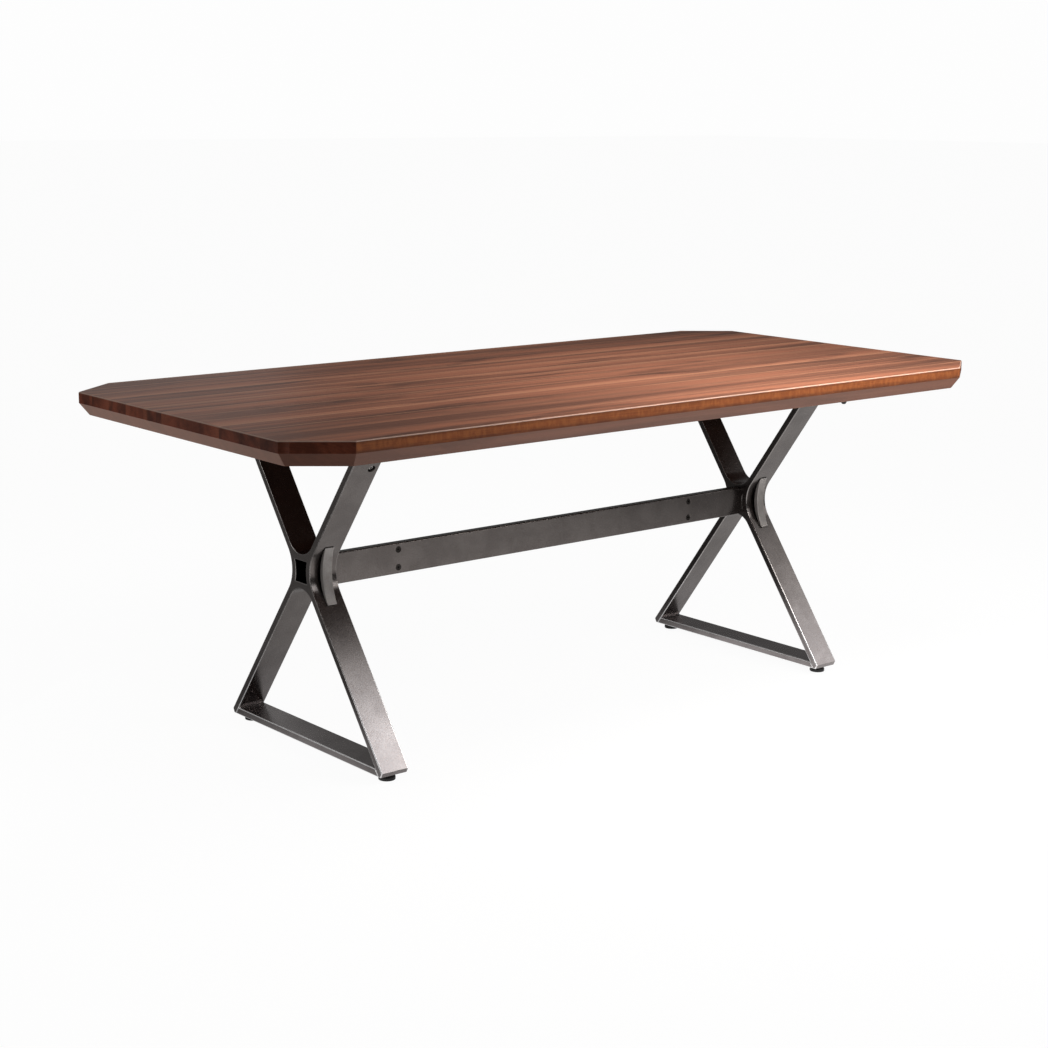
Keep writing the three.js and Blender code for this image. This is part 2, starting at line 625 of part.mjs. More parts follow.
function addFeet() {
  for (const [end, xSign] of [['left', -1], ['right', 1]]) {
    for (const [side, ySign] of [['near', -1], ['far', 1]]) {
      for (const [piece, geometry, material] of [
        ['foot_pad', footPad(), BLACK_PLASTIC],
        ['foot_stud', footStud(), HIDDEN_STEEL],
      ]) {
        const mesh = add(`${end}_${side}_${piece}`, geometry, material);
        mesh.position.set(xSign * TRESTLE_MID_X, ySign * FOOT_Y, 0);
      }
    }
  }
}

addTop();
addTrestle('left');
addTrestle('right');
addStretcher();
addFeet();

export default part;
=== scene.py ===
import math

import bmesh
import bpy
from mathutils import Matrix, Vector


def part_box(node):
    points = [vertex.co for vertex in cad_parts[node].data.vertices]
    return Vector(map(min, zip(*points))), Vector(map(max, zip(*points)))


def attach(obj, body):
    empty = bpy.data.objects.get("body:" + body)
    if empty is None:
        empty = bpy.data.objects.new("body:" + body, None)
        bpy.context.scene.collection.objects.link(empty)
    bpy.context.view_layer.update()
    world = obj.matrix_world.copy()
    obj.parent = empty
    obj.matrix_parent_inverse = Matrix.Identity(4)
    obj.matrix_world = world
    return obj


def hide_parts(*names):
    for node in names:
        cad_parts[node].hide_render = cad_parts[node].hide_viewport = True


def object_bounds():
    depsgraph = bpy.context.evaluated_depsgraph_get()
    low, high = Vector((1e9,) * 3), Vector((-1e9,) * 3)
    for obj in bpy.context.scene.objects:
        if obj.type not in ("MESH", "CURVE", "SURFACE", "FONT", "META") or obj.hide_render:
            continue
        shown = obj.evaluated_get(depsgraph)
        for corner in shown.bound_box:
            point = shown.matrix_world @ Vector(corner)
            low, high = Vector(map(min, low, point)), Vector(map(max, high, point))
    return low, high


# The looks of a trestle dining table: a walnut top of glued staves with clipped corners, on two
# patinated steel X frames joined by a stretcher. Metres, +Z up. X runs along the top and Y across
# it: "left" is -X, "near" is -Y.

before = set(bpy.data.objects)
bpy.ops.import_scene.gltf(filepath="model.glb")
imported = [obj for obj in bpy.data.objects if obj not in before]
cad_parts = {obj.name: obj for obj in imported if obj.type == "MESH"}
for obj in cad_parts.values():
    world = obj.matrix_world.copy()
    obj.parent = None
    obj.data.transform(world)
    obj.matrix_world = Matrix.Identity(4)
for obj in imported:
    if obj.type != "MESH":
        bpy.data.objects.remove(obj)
cad_low, cad_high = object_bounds()
scene = bpy.context.scene

MM = 0.001
ENDS = ("left", "right")
SIDES = ("near", "far")
SIGN = {"left": -1, "right": 1, "near": -1, "far": 1}
LEVELS = {"lower": -1, "upper": 1}
BOLTED_SIDE = {"left": "near", "right": "far"}  # the other arm of a trestle is welded to its saddle

# ---- Places and sizes taken from the frame ----

STAVES = sorted(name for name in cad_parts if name.startswith("top_stave_"))
TABLE_HEIGHT = cad_high.z
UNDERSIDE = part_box(STAVES[0])[0].z
TOP_LENGTH = cad_high.x - cad_low.x
TOP_WIDTH = cad_high.y - cad_low.y
STAVE_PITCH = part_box(STAVES[1])[0].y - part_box(STAVES[0])[0].y
JOINT_GAP = STAVE_PITCH * len(STAVES) - TOP_WIDTH
WOOD_SCREW_YS = [steps * STAVE_PITCH for steps in (-2, -1, 1, 2)]

BAR_LOW, BAR_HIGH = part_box("left_floor_bar")
BAR_WIDTH = BAR_HIGH.x - BAR_LOW.x
BAR_THICKNESS = BAR_HIGH.z - BAR_LOW.z
TRESTLE_OUTER_X = -BAR_LOW.x
FOOT_LEVEL = BAR_LOW.z
WAIST_HOLE_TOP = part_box("left_upper_waist_web")[0].z
WAIST_HOLE_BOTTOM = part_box("left_lower_waist_web")[1].z

TUBE_LOW, TUBE_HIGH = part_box("stretcher_tube")
SADDLE_LOW, SADDLE_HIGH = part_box("left_top_saddle_plate")
PAD_LOW, PAD_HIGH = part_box("left_near_foot_pad")
BUTTON_LOW, BUTTON_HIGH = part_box("underside_button")

# ---- Driving dimensions that a box can't give ----

EDGE_HEIGHT = 24 * MM  # upright part of the top's edge, above the under-bevel
BEVEL_INSET = 19.5 * MM
CLIP_LENGTH = 115 * MM  # corner clip, along X
CLIP_WIDTH = 87 * MM  # corner clip, along Y

ARM_SPREAD = 245 * MM
FOOT_SPREAD = 299 * MM
WAIST_VERTEX = 17 * MM
WAIST_HEIGHT = 397 * MM
WAIST_BEND_RADIUS = 73 * MM
FOOT_NIP = 10 * MM
CROTCH_RADIUS = 51 * MM

STRAP_WIDTH = 23 * MM
STRAP_REACH_UP = 58 * MM
STRAP_REACH_DOWN = 64 * MM
STRAP_BACK_AT_WAIST = 40.4 * MM  # from the middle of the trestle
STRAP_FRONT_AT_WAIST = 51.5 * MM
STRAP_STANDOFF = 0.4 * MM
STRAP_TIP_UP = 1.4 * MM
STRAP_TIP_DOWN = 3.6 * MM
STRAP_ARC_STEPS = 16

SADDLE_THICKNESS = 6 * MM
SADDLE_EAR_DROP = 84 * MM
SADDLE_BEND_RADIUS = 9 * MM

TUBE_WALL = 4 * MM
TUBE_CORNER_RADIUS = 3 * MM

ARM_BOLT_DROP = 65 * MM  # below the underside of the top
ARM_BOLT_FROM_INNER_FACE = 18 * MM
ARM_BOLT_SEAT = 8 * MM  # depth of the counterbore
COUNTERBORE_RADIUS = 8 * MM
STRETCHER_SCREW_X = 440 * MM
STRETCHER_SCREW_PITCH = 40 * MM
STUD_ENGAGEMENT = 13.5 * MM  # thread inside the floor bar

BAR_ARRIS = 1.9 * MM  # rounding of the flat bars' long edges
PLATE_ARRIS = 0.8 * MM
STRAP_ARRIS = 1.0 * MM

ARM_TOP = Vector((ARM_SPREAD, UNDERSIDE))
WAIST = Vector((WAIST_VERTEX, WAIST_HEIGHT))
TOE = Vector((FOOT_SPREAD, FOOT_LEVEL))
UP = Vector((0, 0, 1))

# ---- Node helpers ----


class Nodes:
    """A material's node tree, with short calls for the nodes used here."""

    def __init__(self, name):
        self.material = bpy.data.materials.new(name)
        self.material.use_nodes = True
        self.tree = self.material.node_tree
        self.shader = self.tree.nodes["Principled BSDF"]

    def make(self, kind, **settings):
        node = self.tree.nodes.new(kind)
        for key, value in settings.items():
            setattr(node, key, value)
        return node

    def feed(self, socket, value):
        """Links a socket, or sets a plain number or an (r, g, b) colour on it."""
        if isinstance(value, bpy.types.NodeSocket):
            self.tree.links.new(value, socket)
        elif socket.type == "RGBA":
            socket.default_value = (*value, 1.0)
        else:
            socket.default_value = value

    def fill(self, node, **inputs):
        """Feeds a node's inputs by name, with an underscore for each space."""
        for name, value in inputs.items():
            self.feed(node.inputs[name.replace("_", " ")], value)
        return node

    def math(self, operation, first, second=0.0, third=0.0, clamp=False):
        node = self.make("ShaderNodeMath", operation=operation, use_clamp=clamp)
        for socket, value in zip(node.inputs, (first, second, third)):
            self.feed(socket, value)
        return node.outputs[0]

    def times(self, first, second):
        return self.math("MULTIPLY", first, second)

    def size(self, value):
        """A value without its sign."""
        return self.math("ABSOLUTE", value)

    def place(self):
        """The place in the shared frame of the point being shaded, at rest."""
        return self.make("ShaderNodeTexCoord").outputs["Object"]

    def split(self, vector):
        node = self.make("ShaderNodeSeparateXYZ")
        self.feed(node.inputs[0], vector)
        return node.outputs[0], node.outputs[1], node.outputs[2]

    def join(self, x, y, z):
        node = self.make("ShaderNodeCombineXYZ")
        for socket, value in zip(node.inputs, (x, y, z)):
            self.feed(socket, value)
        return node.outputs[0]

    def scaled(self, vector, factors):
        node = self.make("ShaderNodeVectorMath", operation="MULTIPLY")
        self.feed(node.inputs[0], vector)
        node.inputs[1].default_value = factors
        return node.outputs[0]

    def arris_mask(self):
        """1 on the arrises that a mesh marks, 0 elsewhere."""
        return self.make("ShaderNodeAttribute", attribute_name="arris").outputs["Fac"]

    def noise(self, vector, scale=1.0, detail=3.0, roughness=0.5, distortion=0.0):
        node = self.fill(
            self.make("ShaderNodeTexNoise"), Vector=vector, Scale=scale, Detail=detail,
            Roughness=roughness, Distortion=distortion)
        return node.outputs["Fac"]

    def random(self, value):
        """Three even random numbers that depend on one number."""
        node = self.make("ShaderNodeTexWhiteNoise", noise_dimensions="1D")
        self.feed(node.inputs["W"], value)
        return self.split(node.outputs["Color"])

    def ramp(self, value, low, high, out_low=0.0, out_high=1.0):
        """A smooth step of value from low to high."""
        node = self.make("ShaderNodeMapRange", interpolation_type="SMOOTHSTEP")
        for socket, number in zip(node.inputs, (value, low, high, out_low, out_high)):
            self.feed(socket, number)
        return node.outputs[0]

    def mix(self, factor, first, second, blend="MIX"):
        node = self.make("ShaderNodeMix", data_type="RGBA", blend_type=blend)
        self.feed(node.inputs["Factor"], factor)
        self.feed(node.inputs[6], first)
        self.feed(node.inputs[7], second)
        return node.outputs[2]

    def bump(self, height, strength, distance):
        bump = self.make("ShaderNodeBump")
        return self.fill(bump, Height=height, Strength=strength, Distance=distance).outputs[0]

    def finish(self, color, roughness, normal, **others):
        """Links what varies over the surface, and sets constants on the shader itself."""
        self.fill(self.shader, Base_Color=color, Roughness=roughness, Normal=normal, **others)
        return self.material


# ---- Materials ----

WARM = (0.305, 0.117, 0.066)
BROWN = (0.150, 0.062, 0.038)
DARK = (0.046, 0.023, 0.017)
TAN = (0.500, 0.255, 0.150)
THIRSTY = (0.62, 0.42, 0.38)  # what end grain does to the colour of its stave
AMBER = ((0.240, 0.068, 0.021), (0.160, 0.044, 0.014))
AMBER_LINES = (0.075, 0.021, 0.008)
AMBER_CURL = (0.420, 0.150, 0.042)
AMBER_RIM = (0.080, 0.028, 0.015)
# painted light: the under-bevel's colours stand in for the floor's light, paler at the ends
LONG_BEVEL = (0.205, 0.106, 0.078)
SHORT_BEVEL = (0.560, 0.345, 0.275)
# painted highlight along the top's upper arris
ARRIS_HIGHLIGHT = (0.560, 0.400, 0.330)
RING_WIDTH = 5.2 * MM


class Walnut(Nodes):
    """Oiled walnut whose grain follows each stave's own log, so that it runs on round every edge."""

    def __init__(self):
        super().__init__("walnut")
        x, y, self.z = self.split(self.place())
        staves = self.math("DIVIDE", self.math("ADD", y, TOP_WIDTH / 2 + JOINT_GAP / 2), STAVE_PITCH)
        self.index = self.math("FLOOR", staves)
        self.pith_side, self.pith_depth, start_x = self.random(self.index)
        self.shade, self.lean, start_y = self.random(self.math("ADD", self.index, 57.3))
        self.across = self.math("SUBTRACT", self.math("SUBTRACT", staves, self.index), 0.5)
        self.along = self.math("ADD", x, self.times(start_x, 37.0))
        self.in_log = self.join(self.along, self.math("ADD", y, self.times(start_y, 11.0)), self.z)
        self.normal = self.split(self.make("ShaderNodeNewGeometry").outputs["True Normal"])
        self.ring_lines = self.growth_rings()
        self.bands = self.grain((0.8, 26.0, 26.0), 2.0)
        self.fine = self.grain((7.0, 480.0, 480.0), 3.0, 0.6)
        self.pores = self.grain((45.0, 1400.0, 1400.0), 1.0)

    def grain(self, scales, detail, roughness=0.5, distortion=0.0):
        """Noise in the stave's own log: a low first scale draws it out along the grain."""
        return self.noise(self.scaled(self.in_log, scales), 1.0, detail, roughness, distortion)

    def growth_rings(self):
        """Rings round a pith that lies outside the stave and wanders along it."""
        wander = self.noise(self.join(self.times(self.along, 0.9), self.index, 0.0), 1.0, 2.0)
        side = self.math("SUBTRACT", self.pith_side, 0.5)
        pith_y = self.math("MULTIPLY_ADD", side, 0.16, self.times(wander, 0.05))
        pith_z = self.math("MULTIPLY_ADD", self.pith_depth, -0.10, -0.03)
        dy = self.math("SUBTRACT", self.times(self.across, STAVE_PITCH), pith_y)
        dz = self.math("SUBTRACT", self.math("SUBTRACT", self.z, UNDERSIDE), pith_z)
        radius = self.math("SQRT", self.math("ADD", self.times(dy, dy), self.times(dz, dz)))
        wavy = self.math("MULTIPLY_ADD", self.grain((2.2, 14.0, 14.0), 3.0), 0.018, radius)
        return self.ramp(self.math("SINE", self.times(wavy, 2 * math.pi / RING_WIDTH)), -0.2, 1.0)

    def figure(self):
        """Bands, streaks, dark clouds and pores, the same on every face."""
        drift = self.ramp(self.bands, 0.36, 0.64, -0.35, 0.45)
        tint = self.math("ADD", self.times(self.shade, 0.85), drift, clamp=True)
        streaks = self.grain((0.9, 85.0, 85.0), 4.0, 0.6)
        smoke = self.grain((1.8, 14.0, 9.0), 5.0, 0.6, 0.8)
        slant = self.times(self.across, self.math("MULTIPLY_ADD", self.lean, 2.0, -1.0))
        color = self.mix(tint, WARM, BROWN)
        color = self.mix(self.ramp(streaks, 0.50, 0.68, 0.0, 0.24), color, DARK)
        color = self.mix(self.ramp(streaks, 0.46, 0.34, 0.0, 0.14), color, TAN)
        color = self.mix(self.ramp(slant, 0.0, 0.40, 0.0, 0.30), color, TAN)
        color = self.mix(self.ramp(slant, 0.0, -0.40, 0.0, 0.42), color, DARK)
        color = self.mix(self.times(self.ring_lines, 0.12), color, DARK)
        color = self.mix(self.ramp(smoke, 0.50, 0.68, 0.0, 0.66), color, DARK)
        color = self.mix(self.ramp(self.fine, 0.50, 0.80, 0.0, 0.16), color, DARK)
        return self.mix(self.ramp(self.pores, 0.66, 0.76, 0.0, 0.30), color, DARK)

    def with_joint_lines(self, color):
        """A paler line runs along most glue joints of the upper face."""
        to_joint = self.math("SUBTRACT", 0.5, self.size(self.across))
        line = self.ramp(to_joint, 0.0, 0.055, 1.0, 0.0)
        line = self.times(line, self.ramp(self.grain((1.3, 3.0, 3.0), 2.0), 0.40, 0.55))
        line = self.times(line, self.ramp(self.normal[2], 0.5, 0.9))
        return self.mix(self.times(line, 0.60), color, TAN)

    def with_end_grain(self, color):
        """End grain drinks the oil and goes dark and red; the underside is painted dark as painted shade.
        """
        thirsty = self.mix(1.0, color, THIRSTY, "MULTIPLY")
        color = self.mix(self.ramp(self.size(self.normal[0]), 0.25, 0.60), color, thirsty)
        # painted shade: the underside is darkened towards DARK
        return self.mix(self.ramp(self.normal[2], -0.98, -0.85, 0.80, 0.0), color, DARK)

    def with_long_edges(self, color):
        """The upright long edges are amber wood, curly across the grain and mottled at their rims."""
        amber = self.mix(self.ramp(self.bands, 0.35, 0.65), *AMBER)
        amber = self.mix(self.ramp(self.fine, 0.45, 0.75, 0.0, 0.45), amber, AMBER_LINES)
        curl = self.grain((120.0, 16.0, 60.0), 3.0, 0.6)
        amber = self.mix(self.ramp(curl, 0.38, 0.66, 0.0, 0.30), amber, AMBER_CURL)
        off_middle = self.size(self.math("SUBTRACT", self.z, TABLE_HEIGHT - EDGE_HEIGHT / 2))
        blotch = self.ramp(self.grain((26.0, 90.0, 120.0), 3.0), 0.26, 0.58, 0.35, 1.0)
        rim = self.times(self.ramp(off_middle, 3 * MM, 11 * MM), blotch)
        amber = self.mix(self.times(rim, 0.80), amber, AMBER_RIM)
        return self.mix(self.ramp(self.size(self.normal[1]), 0.90, 0.97, 0.0, 0.92), color, amber)

    def with_painted_edge_light(self, color):
        """The under-bevel is painted paler as painted light from the floor below, most of all at the
        ends, and the upper arris gets a painted highlight.
        """
        nx, _, nz = self.normal
        # painted light on the under-bevel, as if lit from the floor, strongest at the ends
        bevel_light = self.mix(self.ramp(self.size(nx), 0.50, 0.56), LONG_BEVEL, SHORT_BEVEL)
        bevel = self.times(self.ramp(nz, -0.30, -0.50), self.ramp(nz, -0.95, -0.75))
        color = self.mix(self.times(bevel, 0.62), color, bevel_light)
        # painted highlight along the upper arris
        arris = self.times(self.ramp(nz, 0.10, 0.35), self.ramp(nz, 0.995, 0.95))
        return self.mix(self.times(arris, 0.60), color, ARRIS_HIGHLIGHT)


def walnut():
    n = Walnut()
    color = n.with_end_grain(n.with_joint_lines(n.figure()))
    color = n.with_painted_edge_light(n.with_long_edges(color))
    roughness = n.math("MULTIPLY_ADD", n.fine, 0.12, 0.38)
    height = n.math("MULTIPLY_ADD", n.ramp(n.pores, 0.62, 0.78), -1.0, n.times(n.ring_lines, 0.25))
    return n.finish(color, roughness, n.bump(height, 0.35, 0.0002), Specular_IOR_Level=0.12)


PAINTED_SHADE_HIGH = (0.82, 0.80, 0.79)  # painted shade on the upper parts, as a share of its colour
PAINTED_GLARE_LOW = (1.75, 1.75, 1.80)  # the same where shoes rub it


def steel(name, dark, light, rust, wear_and_glint, roughness, unevenness, relief=0.07, metallic=1.0):
    """Steel with a mottled patina and worn arrises that also carry a painted highlight; painted
    reflection makes it brighter near the floor and painted shade darker higher up.
    """
    n = Nodes(name)
    place = n.place()
    height = n.split(place)[2]
    clouds = n.noise(place, 14.0, 5.0, 0.6, 0.3)
    mottle = n.noise(place, 340.0, 4.0, 0.65)
    grain = n.noise(place, 760.0, 3.0, 0.6)
    color = n.mix(n.ramp(clouds, 0.35, 0.65), dark, light)
    color = n.mix(n.ramp(mottle, 0.42, 0.68, 0.0, 0.4), color, rust)
    color = n.mix(n.ramp(grain, 0.45, 0.75, 0.0, 0.30), color, dark)
    # wear on the arrises together with a painted highlight, stronger low down
    low_wear_and_glint = n.ramp(height, 0.10, 0.45, 1.0, 0.35)
    arris_wear_and_glint = n.times(n.arris_mask(), n.times(low_wear_and_glint, n.ramp(mottle, 0.38, 0.58, 0.6, 1.0)))
    color = n.mix(arris_wear_and_glint, color, wear_and_glint)
    # painted reflection near the floor and painted shade higher up
    glare_and_shade = n.mix(n.ramp(height, 0.02, 0.26, 1.0, 0.0), PAINTED_SHADE_HIGH, PAINTED_GLARE_LOW)
    color = n.mix(1.0, color, glare_and_shade, "MULTIPLY")
    rough = n.math("MULTIPLY_ADD", n.ramp(mottle, 0.3, 0.7), unevenness, roughness)
    bump = n.bump(n.math("MULTIPLY_ADD", grain, 0.6, mottle), relief, 0.0003)
    return n.finish(color, rough, bump, Metallic=metallic)


def nylon():
    """Black moulded nylon with a fine spark-eroded grain."""
    n = Nodes("black_nylon")
    place = n.place()
    grain = n.noise(place, 1500.0, 3.0, 0.7)
    dust = n.noise(place, 60.0, 4.0)
    color = n.mix(n.ramp(dust, 0.45, 0.8), (0.008, 0.008, 0.008), (0.030, 0.029, 0.028))
    roughness = n.math("MULTIPLY_ADD", grain, 0.2, 0.4)
    return n.finish(color, roughness, n.bump(grain, 0.4, 0.0002))


def painted():
    """Black primer on the saddle plates and the stretcher's tongues."""
    n = Nodes("bracket_paint")
    place = n.place()
    peel = n.noise(place, 260.0, 3.0, 0.6)
    dust = n.noise(place, 25.0, 5.0, 0.6)
    color = n.mix(n.ramp(dust, 0.4, 0.75), (0.014, 0.013, 0.013), (0.045, 0.042, 0.040))
    color = n.mix(n.times(n.arris_mask(), 0.5), color, (0.10, 0.09, 0.085))
    roughness = n.math("MULTIPLY_ADD", peel, 0.25, 0.38)
    return n.finish(color, roughness, n.bump(peel, 0.25, 0.0003))


STEELS = {
    "patinated_steel": {
        "dark": (0.124, 0.114, 0.110), "light": (0.159, 0.147, 0.142),
        "rust": (0.134, 0.108, 0.099), "wear_and_glint": (0.72, 0.70, 0.69),
        "roughness": 0.20, "unevenness": 0.08,
    },
    "strap_steel": {
        "dark": (0.250, 0.240, 0.232), "light": (0.430, 0.412, 0.400),
        "rust": (0.270, 0.230, 0.213), "wear_and_glint": (0.80, 0.77, 0.75),
        "roughness": 0.42, "unevenness": 0.18, "relief": 0.5, "metallic": 0.25,
    },
    "blackened_steel": {
        "dark": (0.018, 0.017, 0.016), "light": (0.046, 0.043, 0.041),
        "rust": (0.040, 0.030, 0.026), "wear_and_glint": (0.60, 0.58, 0.57),
        "roughness": 0.30, "unevenness": 0.10,
    },
    "bright_steel": {
        "dark": (0.560, 0.550, 0.540), "light": (0.740, 0.730, 0.720),
        "rust": (0.420, 0.380, 0.350), "wear_and_glint": (0.80, 0.79, 0.78),
        "roughness": 0.34, "unevenness": 0.10, "metallic": 0.45,
    },
    "zinc_screw": {
        "dark": (0.50, 0.50, 0.49), "light": (0.68, 0.68, 0.66),
        "rust": (0.55, 0.50, 0.40), "wear_and_glint": (0.80, 0.80, 0.78),
        "roughness": 0.26, "unevenness": 0.16,
    },
}
MATERIALS = {name: steel(name, **finish) for name, finish in STEELS.items()}
MATERIALS["walnut"] = walnut()
MATERIALS["bracket_steel"] = painted()
MATERIALS["black_nylon"] = nylon()

# ---- Plane geometry ----

ARC_STEP = math.radians(5)


def rounded_corner(a, b, c, radius, steps=None):
    """Points of the arc that rounds corner b of the path a-b-c."""
    to_a = (a - b).normalized()
    to_c = (c - b).normalized()
    half = math.acos(max(-1.0, min(1.0, to_a.dot(to_c)))) / 2
    centre = b + (to_a + to_c).normalized() * radius / math.sin(half)
    start = b + to_a * radius / math.tan(half) - centre
    sweep = (math.pi - 2 * half) * -math.copysign(1, to_a.cross(to_c))
    steps = steps or max(2, round(abs(sweep) / ARC_STEP))
    return [centre + Matrix.Rotation(sweep * i / steps, 2) @ start for i in range(steps + 1)]


def rounded_outline(corners, radius, steps=None):
    """A closed outline in which every corner has the same radius."""
    count = len(corners)
    return [
        point
        for i, corner in enumerate(corners)
        for point in rounded_corner(corners[i - 1], corner, corners[(i + 1) % count], radius, steps)
    ]


def shifted_line(p, q, shift):
    """The line through p and q, moved sideways: a positive shift is towards the plane u = 0."""
    along = (q - p).normalized()
    side = Vector((along.y, -along.x))
    if side.x > 0:
        side.negate()
    return p + side * shift, along


def point_at_height(line, z):
    point, along = line
    return point + along * ((z - point.y) / along.y)


def crossing(first, second):
    offset = second[0] - first[0]
    return first[0] + first[1] * (offset.cross(second[1]) / first[1].cross(second[1]))


def side_face(arm_shift, leg_shift, radius, z_top, z_bottom):
    """One face of a bent side, from z_top down past the rounded waist to z_bottom."""
    arm = shifted_line(ARM_TOP, WAIST, arm_shift)
    leg = shifted_line(WAIST, TOE, leg_shift)
    top = point_at_height(arm, z_top)
    bottom = point_at_height(leg, z_bottom)
    return [top, *rounded_corner(top, crossing(arm, leg), bottom, radius), bottom]


def bisector(p, q):
    """The line of the points that are as far from p as from q."""
    return (p + q) / 2, (q - p).orthogonal()


def arc_through(start, between, end, steps):
    """Points of the arc from start to end, both included, that passes a point between them."""
    centre = crossing(bisector(start, between), bisector(between, end))
    spoke = start - centre
    sweep = math.atan2(spoke.cross(end - centre), spoke.dot(end - centre))
    return [centre + Matrix.Rotation(sweep * i / steps, 2) @ spoke for i in range(steps + 1)]


def mirrored(points):
    return [Vector((-p.x, p.y)) for p in reversed(points)]


def signed_area(loop):
    return sum(loop[i - 1].cross(point) for i, point in enumerate(loop)) / 2


def turning(loop, anticlockwise=True):
    """The loop in the asked direction: anticlockwise round material, clockwise round a hole."""
    return loop if (signed_area(loop) > 0) == anticlockwise else loop[::-1]


def inset(loop, distance):
    """A closed loop with every edge moved into the material by distance."""
    moved = []
    for i, point in enumerate(loop):
        before = (point - loop[i - 1]).normalized()
        after = (loop[(i + 1) % len(loop)] - point).normalized()
        edge_normal = Vector((-after.y, after.x))
        bisector = (edge_normal + Vector((-before.y, before.x))).normalized()
        moved.append(point + bisector * (distance / bisector.dot(edge_normal)))
    return moved


# ---- Meshes ----

SMOOTH_ANGLE = math.radians(38)
ARRIS_STEPS = 3
ROUND_SIDES = 48
THREAD_SIDES = 36
ROWS_PER_TURN = 8  # of a thread


def to_object(name, bm):
    """Turns a bmesh into an object whose origin is the shared frame's."""
    bmesh.ops.remove_doubles(bm, verts=bm.verts, dist=1e-6)
    bmesh.ops.recalc_face_normals(bm, faces=bm.faces)
    mesh = bpy.data.meshes.new(name)
    bm.to_mesh(mesh)
    bm.free()
    piece = bpy.data.objects.new(name, mesh)
    scene.collection.objects.link(piece)
    return piece


def bridge(bm, first, second, arris_layer=None):
    """Quads between two closed rings of vertices."""
    for i in range(len(first)):
        face = bm.faces.new((first[i - 1], first[i], second[i], second[i - 1]))
        if arris_layer is not None:
            face[arris_layer] = 1.0


def loft(bm, rings):
    """A skin over a row of rings, closed by a face at both ends."""
    for first, second in zip(rings, rings[1:]):
        bridge(bm, first, second)
    bm.faces.new(rings[0])
    bm.faces.new(rings[-1])


def ring_edges(ring):
    return [
        next(edge for edge in vert.link_edges if edge.other_vert(vert) == ring[i - 1])
        for i, vert in enumerate(ring)
    ]


def eased_prism(name, outer, x0, x1, ease, holes=()):
    """A prism along X on a (y, z) outline, with the arrises of its two end faces rounded."""
    bm = bmesh.new()
    arris_layer = bm.faces.layers.float.new("arris")
    caps = ([], [])
    for loop in [turning(outer), *(turning(hole, False) for hole in holes)]:
        rings = []
        for x_end, inward in ((x0, 1), (x1, -1)):
            half = []
            for i in range(ARRIS_STEPS + 1):
                angle = math.pi / 2 * i / ARRIS_STEPS
                ring = inset(loop, ease * (1 - math.sin(angle)))
                x = x_end + inward * ease * (1 - math.cos(angle))
                half.append([bm.verts.new((x, p.x, p.y)) for p in ring])
            rings.append(half)
        for half, cap in zip(rings, caps):
            for first, second in zip(half, half[1:]):
                bridge(bm, first, second, arris_layer)
            cap.extend(ring_edges(half[0]))
        bridge(bm, rings[0][-1], rings[1][-1])
    for cap in caps:
        bmesh.ops.triangle_fill(bm, use_beauty=True, edges=cap)
    return to_object(name, bm)


def turned(name, profile, segments=ROUND_SIDES):
    """A turned solid about Z from (radius, z) pairs that start and end on the axis."""
    bm = bmesh.new()
    rings = []
    for radius, z in profile[1:-1]:
        angles = [2 * math.pi * i / segments for i in range(segments)]
        rings.append([bm.verts.new((radius * math.cos(a), radius * math.sin(a), z)) for a in angles])
    for first, second in zip(rings, rings[1:]):
        bridge(bm, first, second)
    for ring, (_, z) in ((rings[0], profile[0]), (rings[-1], profile[-1])):
        tip = bm.verts.new((0, 0, z))
        for i in range(segments):
            bm.faces.new((ring[i - 1], ring[i], tip))
    return to_object(name, bm)


def rounded_profile(corners, eases, steps):
    """(radius, z) pairs with every corner between the first and the last rounded."""
    points = [Vector(corner) for corner in corners]
    middle = [
        point
        for a, b, c, ease in zip(points, points[1:], points[2:], eases)
        for point in rounded_corner(a, b, c, ease, steps)
    ]
    return [points[0], *middle, points[-1]]


def threaded_rod(name, radius, z0, z1, pitch, depth):
    """A rod about Z with a helical thread that fades out at both ends."""
    rows = round((z1 - z0) / pitch * ROWS_PER_TURN)
    bm = bmesh.new()
    rings = []
    for row in range(rows + 1):
        z = z0 + (z1 - z0) * row / rows
        fade = min(1.0, (z - z0) / pitch, (z1 - z) / pitch)
        ring = []
        for i in range(THREAD_SIDES):
            turn = (z / pitch - i / THREAD_SIDES) % 1
            crest = radius - depth * (1 - abs(2 * turn - 1)) * fade - depth * (1 - fade)
            angle = 2 * math.pi * i / THREAD_SIDES
            ring.append(bm.verts.new((crest * math.cos(angle), crest * math.sin(angle), z)))
        rings.append(ring)
    loft(bm, rings)
    return to_object(name, bm)


def combined(piece, tools, operation):
    """Applies a boolean with each tool and deletes the tools."""
    for tool in tools:
        modifier = piece.modifiers.new("shape", "BOOLEAN")
        modifier.object = tool
        modifier.operation = operation
        modifier.solver = "EXACT"
    bpy.context.view_layer.update()
    graph = bpy.context.evaluated_depsgraph_get()
    mesh = bpy.data.meshes.new_from_object(piece.evaluated_get(graph))
    piece.modifiers.clear()
    piece.data = mesh
    for tool in tools:
        bpy.data.objects.remove(tool)
    return piece


def cut(piece, tools):
    return combined(piece, tools, "DIFFERENCE")


def placed(piece, matrix):
    """Moves a piece's own vertices, so that its origin stays the shared frame's."""
    piece.data.transform(matrix)
    return piece


def shaded(piece, material):
    """Smooth shading with crisp corners, and flat faces that stay flat beside a rounded arris."""
    piece.data.materials.clear()
    piece.data.materials.append(material)
    piece.data.shade_smooth()
    piece.data.set_sharp_from_angle(angle=SMOOTH_ANGLE)
    modifier = piece.modifiers.new("flat_faces", "WEIGHTED_NORMAL")
    modifier.keep_sharp = True
    modifier.weight = 100


